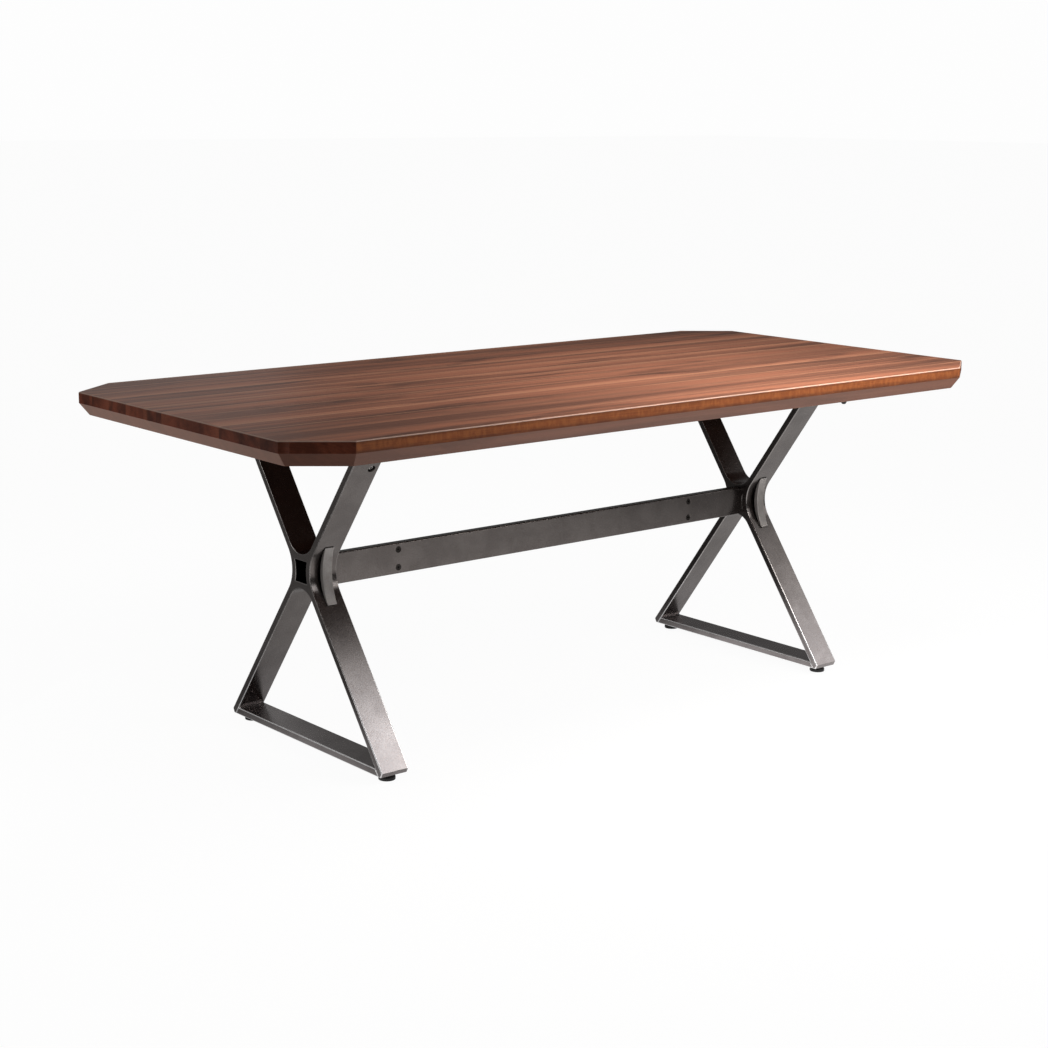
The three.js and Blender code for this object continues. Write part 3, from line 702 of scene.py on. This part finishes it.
def show(piece, slot, nodes=(), body="table", finish=None):
    """Gives a piece its material and its body, and hides the CAD nodes it stands for."""
    shaded(piece, MATERIALS[finish or slot])
    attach(piece, body)
    if nodes:
        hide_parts(*nodes)


# ---- Fasteners: each one points up +Z, with the mouth or the seat of its hole at z = 0 ----

HOLE_SLACK = 0.3 * MM
CLEAR = 1 * MM  # how far a tool stands out of what it cuts, or a part reaches into what it joins
SOCKET_FLATS = 5 * MM
SOCKET_DEPTH = 2.4 * MM


def hex_socket(mouth_z):
    """The room of a hexagon socket that opens at mouth_z and ends in a drill point."""
    radius = SOCKET_FLATS / math.sqrt(3)
    low = mouth_z - CLEAR
    floor = mouth_z + SOCKET_DEPTH
    return turned("socket", [(0, low), (radius, low), (radius, floor), (0, floor + radius / 3)], 6)


BOLT_RADIUS = 3.95 * MM
BOLT_LENGTH = 13 * MM
BOLT_HEAD_RADIUS = 6.5 * MM
BOLT_HEAD_DEPTH = 4.4 * MM
BOLT_CROWN_RADIUS = 3.4 * MM
BOLT_SKIRT = 0.9 * MM
DOME_STEPS = 7


def button_head_bolt(name):
    """M8 button head: a domed head below z = 0 and its shank above."""
    wide = BOLT_HEAD_RADIUS - BOLT_CROWN_RADIUS
    high = BOLT_HEAD_DEPTH - BOLT_SKIRT
    angles = [math.pi / 2 * i / DOME_STEPS for i in range(DOME_STEPS + 1)]
    dome = [(BOLT_CROWN_RADIUS + wide * math.sin(a), -BOLT_SKIRT - high * math.cos(a)) for a in angles]
    bolt = turned(name, [
        (0, -BOLT_HEAD_DEPTH), *dome, (BOLT_HEAD_RADIUS, 0),
        (BOLT_RADIUS, 0), (BOLT_RADIUS, BOLT_LENGTH), (0, BOLT_LENGTH),
    ])
    return cut(bolt, [hex_socket(-BOLT_HEAD_DEPTH)])


SCREW_RIM = 0.4 * MM


def countersunk_screw(name, radius, head_radius, head_depth, length, sunk):
    """A countersunk screw whose flat face lies just inside the mouth of its hole."""
    return turned(name, [
        (0, sunk), (head_radius - SCREW_RIM, sunk), (head_radius, sunk + SCREW_RIM),
        (head_radius, sunk + 2 * SCREW_RIM), (radius, head_depth), (radius, length - radius), (0, length),
    ])


def countersink(radius, head_radius, head_depth, depth):
    """Room for a countersunk screw, opening below z = 0."""
    mouth = head_radius + HOLE_SLACK
    bore = radius + HOLE_SLACK
    flare = 2 * CLEAR
    return turned("countersink", [
        (0, -flare), (mouth + flare, -flare), (mouth, HOLE_SLACK), (bore, head_depth + HOLE_SLACK),
        (bore, depth), (0, depth),
    ])


RECESS_MOUTH = 2.7 * MM
RECESS_FOOT = 0.9 * MM
RECESS_DEPTH = 2.0 * MM
RECESS_TIP = 2.4 * MM
RECESS_SLIMNESS = 0.26


def cross_recess(sunk):
    """Two tapered slots that cross: the drive of a wood screw."""
    low = sunk - CLEAR
    profile = [(0, low), (RECESS_MOUTH, low), (RECESS_FOOT, sunk + RECESS_DEPTH), (0, sunk + RECESS_TIP)]
    slim = Matrix.Diagonal((1, RECESS_SLIMNESS, 1, 1))
    return [
        placed(turned("slot", profile, 4), Matrix.Rotation(turn, 4, "Z") @ slim)
        for turn in (0, math.pi / 2)
    ]


def pointing(direction, place):
    """The matrix that stands a Z-pointing piece at a place, along a direction."""
    return Matrix.Translation(place) @ UP.rotation_difference(direction).to_matrix().to_4x4()


# ---- Top ----

TOP_ARRIS = 3.0 * MM
EDGE_ARRIS = 1.5 * MM
CORNER_ROUND = 2.5 * MM
BUTTON_FACE = 0.55  # radius of the button's flat, as a share of its own
BUTTON_EASE = 1.1 * MM


def clipped_rectangle(distance):
    """The top's plan, with all its edges moved in by distance and its corners softened."""
    x = TOP_LENGTH / 2
    y = TOP_WIDTH / 2
    near = [Vector((-x, CLIP_WIDTH - y)), Vector((CLIP_LENGTH - x, -y))]
    near += mirrored(near)
    far = [-corner for corner in near]
    return rounded_outline(inset([*near, *far], distance), CORNER_ROUND, steps=3)


def edge_profile():
    """(inset, z) points up the edge of the top, from its underside to its upper face."""
    under = Vector((BEVEL_INSET, UNDERSIDE))
    knuckle = Vector((0, TABLE_HEIGHT - EDGE_HEIGHT))
    arris = Vector((0, TABLE_HEIGHT))
    inner = Vector((BEVEL_INSET, 0))
    return [
        *rounded_corner(under + inner, under, knuckle, EDGE_ARRIS, 3),
        *rounded_corner(under, knuckle, arris, EDGE_ARRIS, 3),
        *rounded_corner(knuckle, arris, arris + inner, TOP_ARRIS, 5),
    ]


def top_slab():
    bm = bmesh.new()
    rings = []
    for distance, z in edge_profile():
        rings.append([bm.verts.new((p.x, p.y, z)) for p in clipped_rectangle(distance)])
    loft(bm, rings)
    bmesh.ops.recalc_face_normals(bm, faces=bm.faces)
    return bm


def slice_between(slab, y_low, y_high):
    """The part of a closed slab between two planes across Y, closed again."""
    bm = slab.copy()
    for y, direction in ((y_low, -1), (y_high, 1)):
        geometry = [*bm.verts, *bm.edges, *bm.faces]
        bmesh.ops.bisect_plane(
            bm, geom=geometry, plane_co=(0, y, 0), plane_no=(0, direction, 0), clear_outer=True)
        bmesh.ops.holes_fill(bm, edges=[e for e in bm.edges if e.is_boundary])
    return bm


def make_top():
    """The staves, sliced from one slab, so that their edges line up."""
    slab = top_slab()
    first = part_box(STAVES[0])[0].y - JOINT_GAP / 2
    for i, node in enumerate(STAVES):
        y_low = first + i * STAVE_PITCH
        stave = slice_between(slab, y_low, y_low + STAVE_PITCH)
        show(to_object(f"walnut_stave_{i + 1:02d}", stave), "walnut", [node])
    slab.free()


def make_button():
    """The small round stud under the near edge, at the right end."""
    radius = (BUTTON_HIGH.x - BUTTON_LOW.x) / 2
    height = BUTTON_HIGH.z - BUTTON_LOW.z
    corners = [(0, 0), (radius * BUTTON_FACE, 0), (radius, height / 2), (radius, height), (0, height)]
    button = turned("underside_stud", rounded_profile(corners, [BUTTON_EASE] * 3, 4))
    middle = (BUTTON_LOW + BUTTON_HIGH) / 2
    placed(button, Matrix.Translation((middle.x, middle.y, BUTTON_LOW.z)))
    show(button, "black_nylon", ["underside_button"])


# ---- Trestles ----

WELD_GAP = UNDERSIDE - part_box("left_near_side_bar")[1].z  # the clearance that CAD leaves at a joint
WAIST_FACE_REACH = 100 * MM  # how far up and down the faces of the waist hole are followed
COUNTERBORE_EDGE = 0.7 * MM
COUNTERBORE_FLARE = 4 * MM
ARM_BOLT_BORE = 4 * MM + HOLE_SLACK
ARM_BOLT_REACH = 40 * MM

WOOD_SCREW = {"radius": 2.5 * MM, "head_radius": 5 * MM, "head_depth": 3 * MM}
WOOD_SCREW_LENGTH = 33 * MM
WOOD_SCREW_SUNK = 0.25 * MM  # how far its head lies below the mouth of its hole
WOOD_SCREW_HOLE = 20 * MM

WELD_STEP = 0.6 * MM
WELD_END = 1.5 * MM
WELD_PITCH = 3.2 * MM
WELD_LEG = 6.5 * MM
WELD_SUNK = 0.6 * MM
WELD_POINTS = 6
WELD_RIPPLE = 0.10
WELD_HOLLOW = 0.42
WELD_TAPER_RINGS = 4


def crotch(line_from, line_to):
    """The round of a V, from the positive side's inner face to the negative side's."""
    face = shifted_line(line_from, line_to, BAR_THICKNESS)
    point, along = face
    vertex_z = point.y - point.x * along.y / along.x
    upward = math.copysign(1, point.y - vertex_z)
    centre = Vector((0, vertex_z + upward * CROTCH_RADIUS / abs(along.x)))
    tangent = point + along * (centre - point).dot(along)
    half = Vector((0, -upward)).angle(tangent - centre)
    steps = max(2, round(2 * half / ARC_STEP))
    start = tangent - centre
    direction = math.copysign(1, start.cross(Vector((0, -upward))))
    return [
        centre + Matrix.Rotation(direction * 2 * half * i / steps, 2) @ start for i in range(steps + 1)
    ]


def x_frame_outline():
    """The welded X in one outline: two bent bars with the rounds of both V's between them."""
    z_top = UNDERSIDE - WELD_GAP
    outer = side_face(0, 0, WAIST_BEND_RADIUS, z_top, FOOT_LEVEL + FOOT_NIP)
    nip = Vector((outer[-1].x - FOOT_NIP / 2, FOOT_LEVEL))
    leg = shifted_line(WAIST, TOE, BAR_THICKNESS)
    arm = shifted_line(ARM_TOP, WAIST, BAR_THICKNESS)
    right_side = [point_at_height(arm, z_top), *outer, nip, point_at_height(leg, FOOT_LEVEL)]
    return [*right_side, *crotch(TOE, WAIST), *mirrored(right_side), *crotch(ARM_TOP, WAIST)[::-1]]


def waist_hole_outline():
    """The hole between the bent bars and the two webs."""
    inner = BAR_THICKNESS
    face = side_face(
        inner, inner, WAIST_BEND_RADIUS + inner, WAIST_HEIGHT + WAIST_FACE_REACH,
        WAIST_HEIGHT - WAIST_FACE_REACH)
    inside = [p for p in face if WAIST_HOLE_BOTTOM < p.y < WAIST_HOLE_TOP]

    def edge_point(z):
        above = next(i for i in range(1, len(face)) if face[i].y <= z)
        a, b = face[above - 1], face[above]
        return a.lerp(b, (z - a.y) / (b.y - a.y))

    half = [edge_point(WAIST_HOLE_TOP), *inside, edge_point(WAIST_HOLE_BOTTOM)]
    return [*half, *mirrored(half)]


def arm_bolt_place(end):
    """The seat of an arm bolt, square to the arm, looking in from its outer face."""
    side = BOLTED_SIDE[end]
    seat = shifted_line(ARM_TOP, WAIST, ARM_BOLT_SEAT)
    point = point_at_height(seat, UNDERSIDE - ARM_BOLT_DROP)
    x = SIGN[end] * (TRESTLE_OUTER_X - BAR_WIDTH + ARM_BOLT_FROM_INNER_FACE)
    inward = Vector((0, SIGN[side] * seat[1].y, -seat[1].x))
    return pointing(inward, Vector((x, SIGN[side] * point.x, point.y)))


def arm_bolt_hole(end):
    """A counterbore with a broken edge, and the bore beyond it."""
    edge_z = -ARM_BOLT_SEAT + COUNTERBORE_EDGE
    flare_z = edge_z - COUNTERBORE_FLARE
    hole = turned("hole", [
        (0, flare_z), (COUNTERBORE_RADIUS + COUNTERBORE_FLARE, flare_z), (COUNTERBORE_RADIUS, edge_z),
        (COUNTERBORE_RADIUS, HOLE_SLACK), (ARM_BOLT_BORE, HOLE_SLACK), (ARM_BOLT_BORE, ARM_BOLT_REACH),
        (0, ARM_BOLT_REACH),
    ])
    return placed(hole, arm_bolt_place(end))


def make_x_frame(end, x0, x1):
    """Two bent bars and the webs between them, welded into one piece."""
    piece = eased_prism(f"{end}_x_frame", x_frame_outline(), x0, x1, BAR_ARRIS, [waist_hole_outline()])
    cut(piece, [arm_bolt_hole(end)])
    replaced = [f"{end}_{side}_side_bar" for side in SIDES]
    replaced += [f"{end}_{level}_waist_web" for level in LEVELS]
    show(piece, "patinated_steel", replaced)


def make_floor_bar(end, x0, x1):
    """The flat bar between the legs, with its ends cut to their slope."""
    leg = shifted_line(WAIST, TOE, BAR_THICKNESS)
    half = [point_at_height(leg, FOOT_LEVEL + BAR_THICKNESS), point_at_height(leg, FOOT_LEVEL)]
    outline = [*half, *mirrored(half)]
    piece = eased_prism(f"{end}_floor_crossbar", outline, x0, x1, BAR_ARRIS)
    show(piece, "patinated_steel", [f"{end}_floor_bar"])


def strap_face(tip_up, tip_down, at_waist):
    """One face of a strap: an arc through its distance from the trestle's middle at the waist."""
    arm = shifted_line(ARM_TOP, WAIST, -WELD_GAP - tip_up)
    leg = shifted_line(WAIST, TOE, -WELD_GAP - tip_down)
    return arc_through(
        point_at_height(arm, WAIST_HEIGHT + STRAP_REACH_UP), Vector((at_waist, WAIST_HEIGHT)),
        point_at_height(leg, WAIST_HEIGHT - STRAP_REACH_DOWN), STRAP_ARC_STEPS)


def make_straps(end, middle_x):
    """A crescent strap across the hollow outside each bend."""
    back = strap_face(STRAP_STANDOFF, STRAP_STANDOFF, STRAP_BACK_AT_WAIST)
    front = strap_face(STRAP_TIP_UP, STRAP_TIP_DOWN, STRAP_FRONT_AT_WAIST)
    half = [*front, *back[::-1]]
    for side in SIDES:
        outline = half if side == "far" else mirrored(half)
        x0 = middle_x - STRAP_WIDTH / 2
        strap = eased_prism(f"{end}_{side}_strap", outline, x0, x0 + STRAP_WIDTH, STRAP_ARRIS)
        show(strap, "strap_steel", [f"{end}_{side}_waist_strap"])


def make_arm_bolt(end):
    """The bolt through one arm into the saddle plate's ear."""
    side = BOLTED_SIDE[end]
    bolt = placed(button_head_bolt(f"{end}_{side}_button_head_bolt"), arm_bolt_place(end))
    show(bolt, "fixing_steel", [f"{end}_{side}_arm_bolt"], finish="bright_steel")


def make_back_plate(end):
    """The plate that closes the inner end of the waist hole."""
    low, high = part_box(f"{end}_waist_back_plate")
    outline = inset(turning(waist_hole_outline()), WELD_GAP)
    plate = eased_prism(f"{end}_back_plate", outline, low.x, high.x, PLATE_ARRIS)
    show(plate, "patinated_steel", [f"{end}_waist_back_plate"])


def make_saddle(end, middle_x):
    """The folded plate under the top, with an ear along each arm's inner face."""
    ear = BAR_THICKNESS + WELD_GAP
    outer = shifted_line(ARM_TOP, WAIST, ear)
    inner = shifted_line(ARM_TOP, WAIST, ear + SADDLE_THICKNESS)
    roof = UNDERSIDE - WELD_GAP
    hem = UNDERSIDE - SADDLE_EAR_DROP
    crown = Vector((0, roof))
    fold_outer = rounded_corner(
        crown, point_at_height(outer, roof), point_at_height(outer, hem), SADDLE_BEND_RADIUS)
    fold_inner = rounded_corner(
        crown, point_at_height(inner, roof - SADDLE_THICKNESS), point_at_height(inner, hem),
        SADDLE_BEND_RADIUS - SADDLE_THICKNESS)
    half = [*fold_outer, point_at_height(outer, hem), point_at_height(inner, hem), *fold_inner[::-1]]
    width = SADDLE_HIGH.x - SADDLE_LOW.x
    x0 = middle_x - width / 2
    saddle = eased_prism(f"{end}_saddle", [*half, *mirrored(half)], x0, x0 + width, PLATE_ARRIS)
    tools = [arm_bolt_hole(end)]
    for y in WOOD_SCREW_YS:
        tool = countersink(**WOOD_SCREW, depth=WOOD_SCREW_HOLE)
        tools.append(placed(tool, Matrix.Translation((middle_x, y, roof - SADDLE_THICKNESS))))
    show(cut(saddle, tools), "bracket_steel", [f"{end}_top_saddle_plate"])


def make_wood_screws(end, middle_x):
    for i, y in enumerate(WOOD_SCREW_YS):
        screw = countersunk_screw(
            f"{end}_cross_screw_{i + 1}", **WOOD_SCREW, length=WOOD_SCREW_LENGTH, sunk=WOOD_SCREW_SUNK)
        cut(screw, cross_recess(WOOD_SCREW_SUNK))
        placed(screw, Matrix.Translation((middle_x, y, UNDERSIDE - WELD_GAP - SADDLE_THICKNESS)))
        show(screw, "zinc_screw", [f"{end}_wood_screw_{i + 1}"])


def weld_section(size):
    """(y, z) points round a hollow fillet in the corner between the floor bar and the far leg."""
    leg = shifted_line(WAIST, TOE, BAR_THICKNESS)
    corner = point_at_height(leg, FOOT_LEVEL + BAR_THICKNESS)
    along_bar = Vector((-1, 0))
    up_leg = -leg[1]
    sunk = (along_bar + up_leg).normalized() * -WELD_SUNK
    points = [corner + sunk]
    for k in range(WELD_POINTS + 1):
        share = k / WELD_POINTS
        direction = along_bar.lerp(up_leg, share).normalized()
        reach = size * (1 - WELD_HOLLOW * math.sin(math.pi * share))
        points.append(corner + sunk * 0.5 + direction * reach)
    return points


def make_toe_welds(end, x0, x1):
    """A rippled bead in each corner between a leg and the floor bar."""
    count = round((x1 - x0) / WELD_STEP)
    for side in SIDES:
        bm = bmesh.new()
        rings = []
        for i in range(count + 1):
            x = x0 + WELD_END + (x1 - x0 - 2 * WELD_END) * i / count
            ripple = 1 + WELD_RIPPLE * math.sin(2 * math.pi * (x - x0) / WELD_PITCH)
            taper = min(1.0, (i + 1) / WELD_TAPER_RINGS, (count + 1 - i) / WELD_TAPER_RINGS)
            points = weld_section(WELD_LEG * ripple * taper)
            rings.append([bm.verts.new((x, SIGN[side] * p.x, p.y)) for p in points])
        loft(bm, rings)
        show(to_object(f"{end}_{side}_toe_weld", bm), "patinated_steel")


def make_trestle(end):
    outer_x = SIGN[end] * TRESTLE_OUTER_X
    x0, x1 = sorted((outer_x, outer_x - SIGN[end] * BAR_WIDTH))
    middle_x = (x0 + x1) / 2
    make_x_frame(end, x0, x1)
    make_floor_bar(end, x0, x1)
    make_straps(end, middle_x)
    make_back_plate(end)
    make_arm_bolt(end)
    make_saddle(end, middle_x)
    make_wood_screws(end, middle_x)
    make_toe_welds(end, x0, x1)


# ---- Stretcher ----

STRETCHER_SCREW = {"radius": 4 * MM, "head_radius": 6.8 * MM, "head_depth": 3.6 * MM}
STRETCHER_SCREW_LENGTH = 16 * MM
STRETCHER_SCREW_SUNK = 0.5 * MM
STRETCHER_SCREW_HOLE = 17 * MM


def stretcher_screw_place(end, level):
    """The mouth of a stretcher screw's hole, looking in from the near face."""
    z = (TUBE_LOW.z + TUBE_HIGH.z) / 2 + LEVELS[level] * STRETCHER_SCREW_PITCH / 2
    return pointing(Vector((0, 1, 0)), Vector((SIGN[end] * STRETCHER_SCREW_X, TUBE_LOW.y, z)))


def make_stretcher_screw(end, level):
    screw = countersunk_screw(
        f"{end}_{level}_socket_screw", **STRETCHER_SCREW, length=STRETCHER_SCREW_LENGTH,
        sunk=STRETCHER_SCREW_SUNK)
    cut(screw, [hex_socket(STRETCHER_SCREW_SUNK)])
    placed(screw, stretcher_screw_place(end, level))
    show(screw, "fixing_steel", [f"{end}_{level}_stretcher_screw"], finish="blackened_steel")


def make_stretcher():
    """The rectangular tube between the trestles, and the screws near both its ends."""
    low, high = TUBE_LOW, TUBE_HIGH
    section = [Vector(p) for p in ((low.y, low.z), (high.y, low.z), (high.y, high.z), (low.y, high.z))]
    outer = rounded_outline(section, TUBE_CORNER_RADIUS, 4)
    bore = inset(section, TUBE_WALL)
    tube = eased_prism("stretcher_rail", outer, low.x, high.x, PLATE_ARRIS, [bore])
    screws = [(end, level) for end in ENDS for level in LEVELS]
    holes = [
        placed(countersink(**STRETCHER_SCREW, depth=STRETCHER_SCREW_HOLE), stretcher_screw_place(*screw))
        for screw in screws
    ]
    show(cut(tube, holes), "patinated_steel", ["stretcher_tube"])
    for end, level in screws:
        make_stretcher_screw(end, level)


# ---- Levelling feet ----

STUD_RADIUS = 4 * MM
THREAD_PITCH = 1.25 * MM
THREAD_DEPTH = 0.65 * MM
STUD_SEAT_RADIUS = 6.3 * MM
STUD_SEAT_Z = 5.2 * MM
HEX_FLATS = 14 * MM
HEX_LOW = 11.5 * MM
HEX_HIGH = 14.6 * MM
HEX_CHAMFER = 0.8 * MM
FLANGE_OVERLAP = 0.2 * MM  # so that flange and hexagon join into one solid
PAD_SHOULDER_Z = 6.5 * MM
PAD_TOP_INSET = 4 * MM
PAD_EASES = (1.2 * MM, 2.2 * MM, 1.6 * MM)  # at its sole, shoulder and top
PAD_SIDES = 64
SEAT_CHAMFER = 0.5 * MM


def foot_pad(name):
    """A round glide with a recess in which the stud's flange sits."""
    radius = (PAD_HIGH.x - PAD_LOW.x) / 2
    top = PAD_HIGH.z
    mouth = (STUD_SEAT_RADIUS + SEAT_CHAMFER, top)
    corners = [(0, 0), (radius, 0), (radius, PAD_SHOULDER_Z), (radius - PAD_TOP_INSET, top), mouth]
    return turned(name, [
        *rounded_profile(corners, PAD_EASES, 5), (STUD_SEAT_RADIUS, top - SEAT_CHAMFER),
        (STUD_SEAT_RADIUS, STUD_SEAT_Z), (0, STUD_SEAT_Z),
    ], PAD_SIDES)


def foot_stud(name):
    """The threaded stud, its hexagon with chamfered corners and the flange that turns in the pad."""
    corner = HEX_FLATS / math.sqrt(3)
    inner = corner - HEX_CHAMFER
    blank = turned("blank", [
        (0, HEX_LOW), (inner, HEX_LOW), (corner, HEX_LOW + HEX_CHAMFER / 2),
        (corner, HEX_HIGH - HEX_CHAMFER / 2), (inner, HEX_HIGH), (0, HEX_HIGH),
    ])
    low, high = HEX_LOW - CLEAR, HEX_HIGH + CLEAR
    stud = turned(name, [(0, low), (corner, low), (corner, high), (0, high)], 6)
    combined(stud, [blank], "INTERSECT")
    flange_radius = STUD_SEAT_RADIUS - HOLE_SLACK
    flange_low = STUD_SEAT_Z + HOLE_SLACK
    flange_high = HEX_LOW + FLANGE_OVERLAP
    flange = turned("flange", [
        (0, flange_low), (flange_radius, flange_low), (flange_radius, flange_high), (0, flange_high),
    ])
    rod = threaded_rod(
        "rod", STUD_RADIUS, HEX_HIGH - CLEAR, FOOT_LEVEL + STUD_ENGAGEMENT, THREAD_PITCH, THREAD_DEPTH)
    return combined(stud, [flange, rod], "UNION")


def make_feet():
    for end in ENDS:
        for side in SIDES:
            key = f"{end}_{side}"
            low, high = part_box(f"{key}_foot_pad")
            place = Matrix.Translation(((low.x + high.x) / 2, (low.y + high.y) / 2, 0))
            pad = placed(foot_pad(f"{key}_glide"), place)
            show(pad, "black_nylon", [f"{key}_foot_pad"], f"{key}_foot")
            stud = placed(foot_stud(f"{key}_threaded_stud"), place)
            show(stud, "zinc_screw", [f"{key}_foot_stud"], f"{key}_stud")


make_top()
make_button()
for end in ENDS:
    make_trestle(end)
make_stretcher()
make_feet()

# ---- CAD nodes that show as they are ----

for end in ENDS:
    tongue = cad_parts[f"{end}_stretcher_tongue"]
    tongue.data.materials.clear()
    tongue.data.materials.append(MATERIALS["bracket_steel"])

# ---- Studio ----

CAMERA_PLACE = Vector((-2.9235, -3.4736, 1.3746))
CAMERA_YAW = 0.6868  # from +Y towards +X
CAMERA_PITCH = 0.2091  # downwards
CAMERA_ROLL = 0.0067
CAMERA_SENSOR = 36.0
CAMERA_LENS = 68.29


def make_camera():
    data = bpy.data.cameras.new("camera")
    data.sensor_width = CAMERA_SENSOR
    data.lens = CAMERA_LENS
    camera = bpy.data.objects.new("camera", data)
    camera.matrix_world = (
        Matrix.Translation(CAMERA_PLACE)
        @ Matrix.Rotation(-CAMERA_YAW, 4, "Z")
        @ Matrix.Rotation(math.pi / 2 - CAMERA_PITCH, 4, "X")
        @ Matrix.Rotation(CAMERA_ROLL, 4, "Z")
    )
    scene.collection.objects.link(camera)
    scene.camera = camera


WHITE = (1.0, 1.0, 1.0)
# place, target, width, height, power in watts, colour
SOFTBOXES = {
    "key_softbox": ((0.70, -1.5, 1.46), (0.0, -0.2, 0.4), 1.1, 0.9, 9.0, (0.96, 0.98, 1.0)),
    "top_softbox": ((0.36, -0.58, 1.50), (0.34, -0.40, 0.76), 0.8, 0.5, 16.5, (1.0, 0.95, 0.90)),
    "edge_softbox": ((0.80, -1.0, 1.05), (0.45, -0.48, 0.74), 0.8, 0.2, 3.4, (1.0, 0.94, 0.86)),
    "left_floor_card": ((-1.55, 0.1, 0.04), (-0.98, 0.1, 0.73), 0.5, 1.0, 2.5, WHITE),
    "right_softbox": ((2.3, -1.3, 1.22), (0.6, -0.2, 0.3), 1.0, 0.9, 5.6, WHITE),
    "left_softbox": ((-2.6, 0.9, 1.2), (-0.9, 0.1, 0.5), 1.0, 0.8, 7.0, WHITE),
    "left_card": ((-1.15, 0.62, 0.30), (-0.6, -0.1, 0.40), 0.9, 0.7, 0.32, WHITE),
    "back_softbox": ((0.1, 2.4, 1.3), (-0.2, 0.0, 0.6), 1.4, 0.8, 1.8, WHITE),
}


def make_softbox(name, place, target, width, height, power, color):
    """A rectangular light that the camera doesn't see directly."""
    data = bpy.data.lights.new(name, "AREA")
    data.shape = "RECTANGLE"
    data.size = width
    data.size_y = height
    data.energy = power
    data.color = color
    light = bpy.data.objects.new(name, data)
    light.visible_camera = False
    aim = (Vector(target) - Vector(place)).to_track_quat("-Z", "Y")
    light.matrix_world = Matrix.Translation(place) @ aim.to_matrix().to_4x4()
    scene.collection.objects.link(light)


FILL_BY_HEIGHT = (0.05, 0.9, 0.07, 0.34)  # two sines of elevation, and the light's strength at each
BACKDROP_STRENGTH = 0.985


def make_world():
    """Soft light that is strongest from above; the camera sees a white backdrop instead."""
    world = bpy.data.worlds.new("studio")
    scene.world = world
    world.use_nodes = True
    nodes = world.node_tree.nodes
    link = world.node_tree.links.new
    direction = nodes.new("ShaderNodeSeparateXYZ")
    link(nodes.new("ShaderNodeTexCoord").outputs["Generated"], direction.inputs[0])
    height = nodes.new("ShaderNodeMapRange")
    for socket, value in zip(height.inputs[1:5], FILL_BY_HEIGHT):
        socket.default_value = value
    link(direction.outputs["Z"], height.inputs[0])
    fill = nodes["Background"]
    fill.inputs["Color"].default_value = (1.0, 0.99, 0.98, 1.0)
    link(height.outputs[0], fill.inputs["Strength"])
    backdrop = nodes.new("ShaderNodeBackground")
    backdrop.inputs["Color"].default_value = (1.0, 1.0, 1.0, 1.0)
    backdrop.inputs["Strength"].default_value = BACKDROP_STRENGTH
    path = nodes.new("ShaderNodeLightPath")
    mix = nodes.new("ShaderNodeMixShader")
    link(path.outputs["Is Camera Ray"], mix.inputs["Fac"])
    link(fill.outputs[0], mix.inputs[1])
    link(backdrop.outputs[0], mix.inputs[2])
    link(mix.outputs[0], nodes["World Output"].inputs["Surface"])


POOL_MIDDLE_X = 0.50
POOL_HALF_LENGTH = (0.8, 1.7)  # along X: full glow inside the first, none outside the second
POOL_FAR_EDGE = (0.0, 0.5)  # along Y, in the same way
POOL_GLOW = 0.80
FLOOR_GLOW = 0.952
FLOOR_ROUGHNESS = 0.9
FLOOR_HALF_SIZE = 60.0


def make_floor():
    """White to the camera; in the steel's reflections it's lit in a pool in front of the table."""
    n = Nodes("studio_floor")
    place = n.place()
    x, y, _ = n.split(place)
    along = n.ramp(n.size(n.math("SUBTRACT", x, POOL_MIDDLE_X)), *POOL_HALF_LENGTH, 1.0, 0.0)
    pool = n.times(along, n.ramp(y, *POOL_FAR_EDGE, POOL_GLOW, 0.0))
    seen = n.make("ShaderNodeLightPath").outputs["Is Camera Ray"]
    glow = n.ramp(seen, 0.0, 1.0, pool, FLOOR_GLOW)
    lit = n.mix(n.noise(place, 0.6, 3.0), (0.28, 0.28, 0.28), (0.32, 0.32, 0.32))
    color = n.mix(seen, lit, (0.07, 0.07, 0.07))
    grit = n.bump(n.noise(place, 40.0), 0.02, 0.001)
    material = n.finish(
        color, FLOOR_ROUGHNESS, grit, Emission_Color=WHITE, Emission_Strength=glow,
        Specular_IOR_Level=0.0)
    bm = bmesh.new()
    bmesh.ops.create_grid(bm, x_segments=8, y_segments=8, size=FLOOR_HALF_SIZE)
    floor = to_object("studio_floor", bm)
    floor.data.materials.append(material)


make_camera()
make_world()
make_floor()
for name, settings in SOFTBOXES.items():
    make_softbox(name, *settings)
scene.view_settings.view_transform = "Standard"
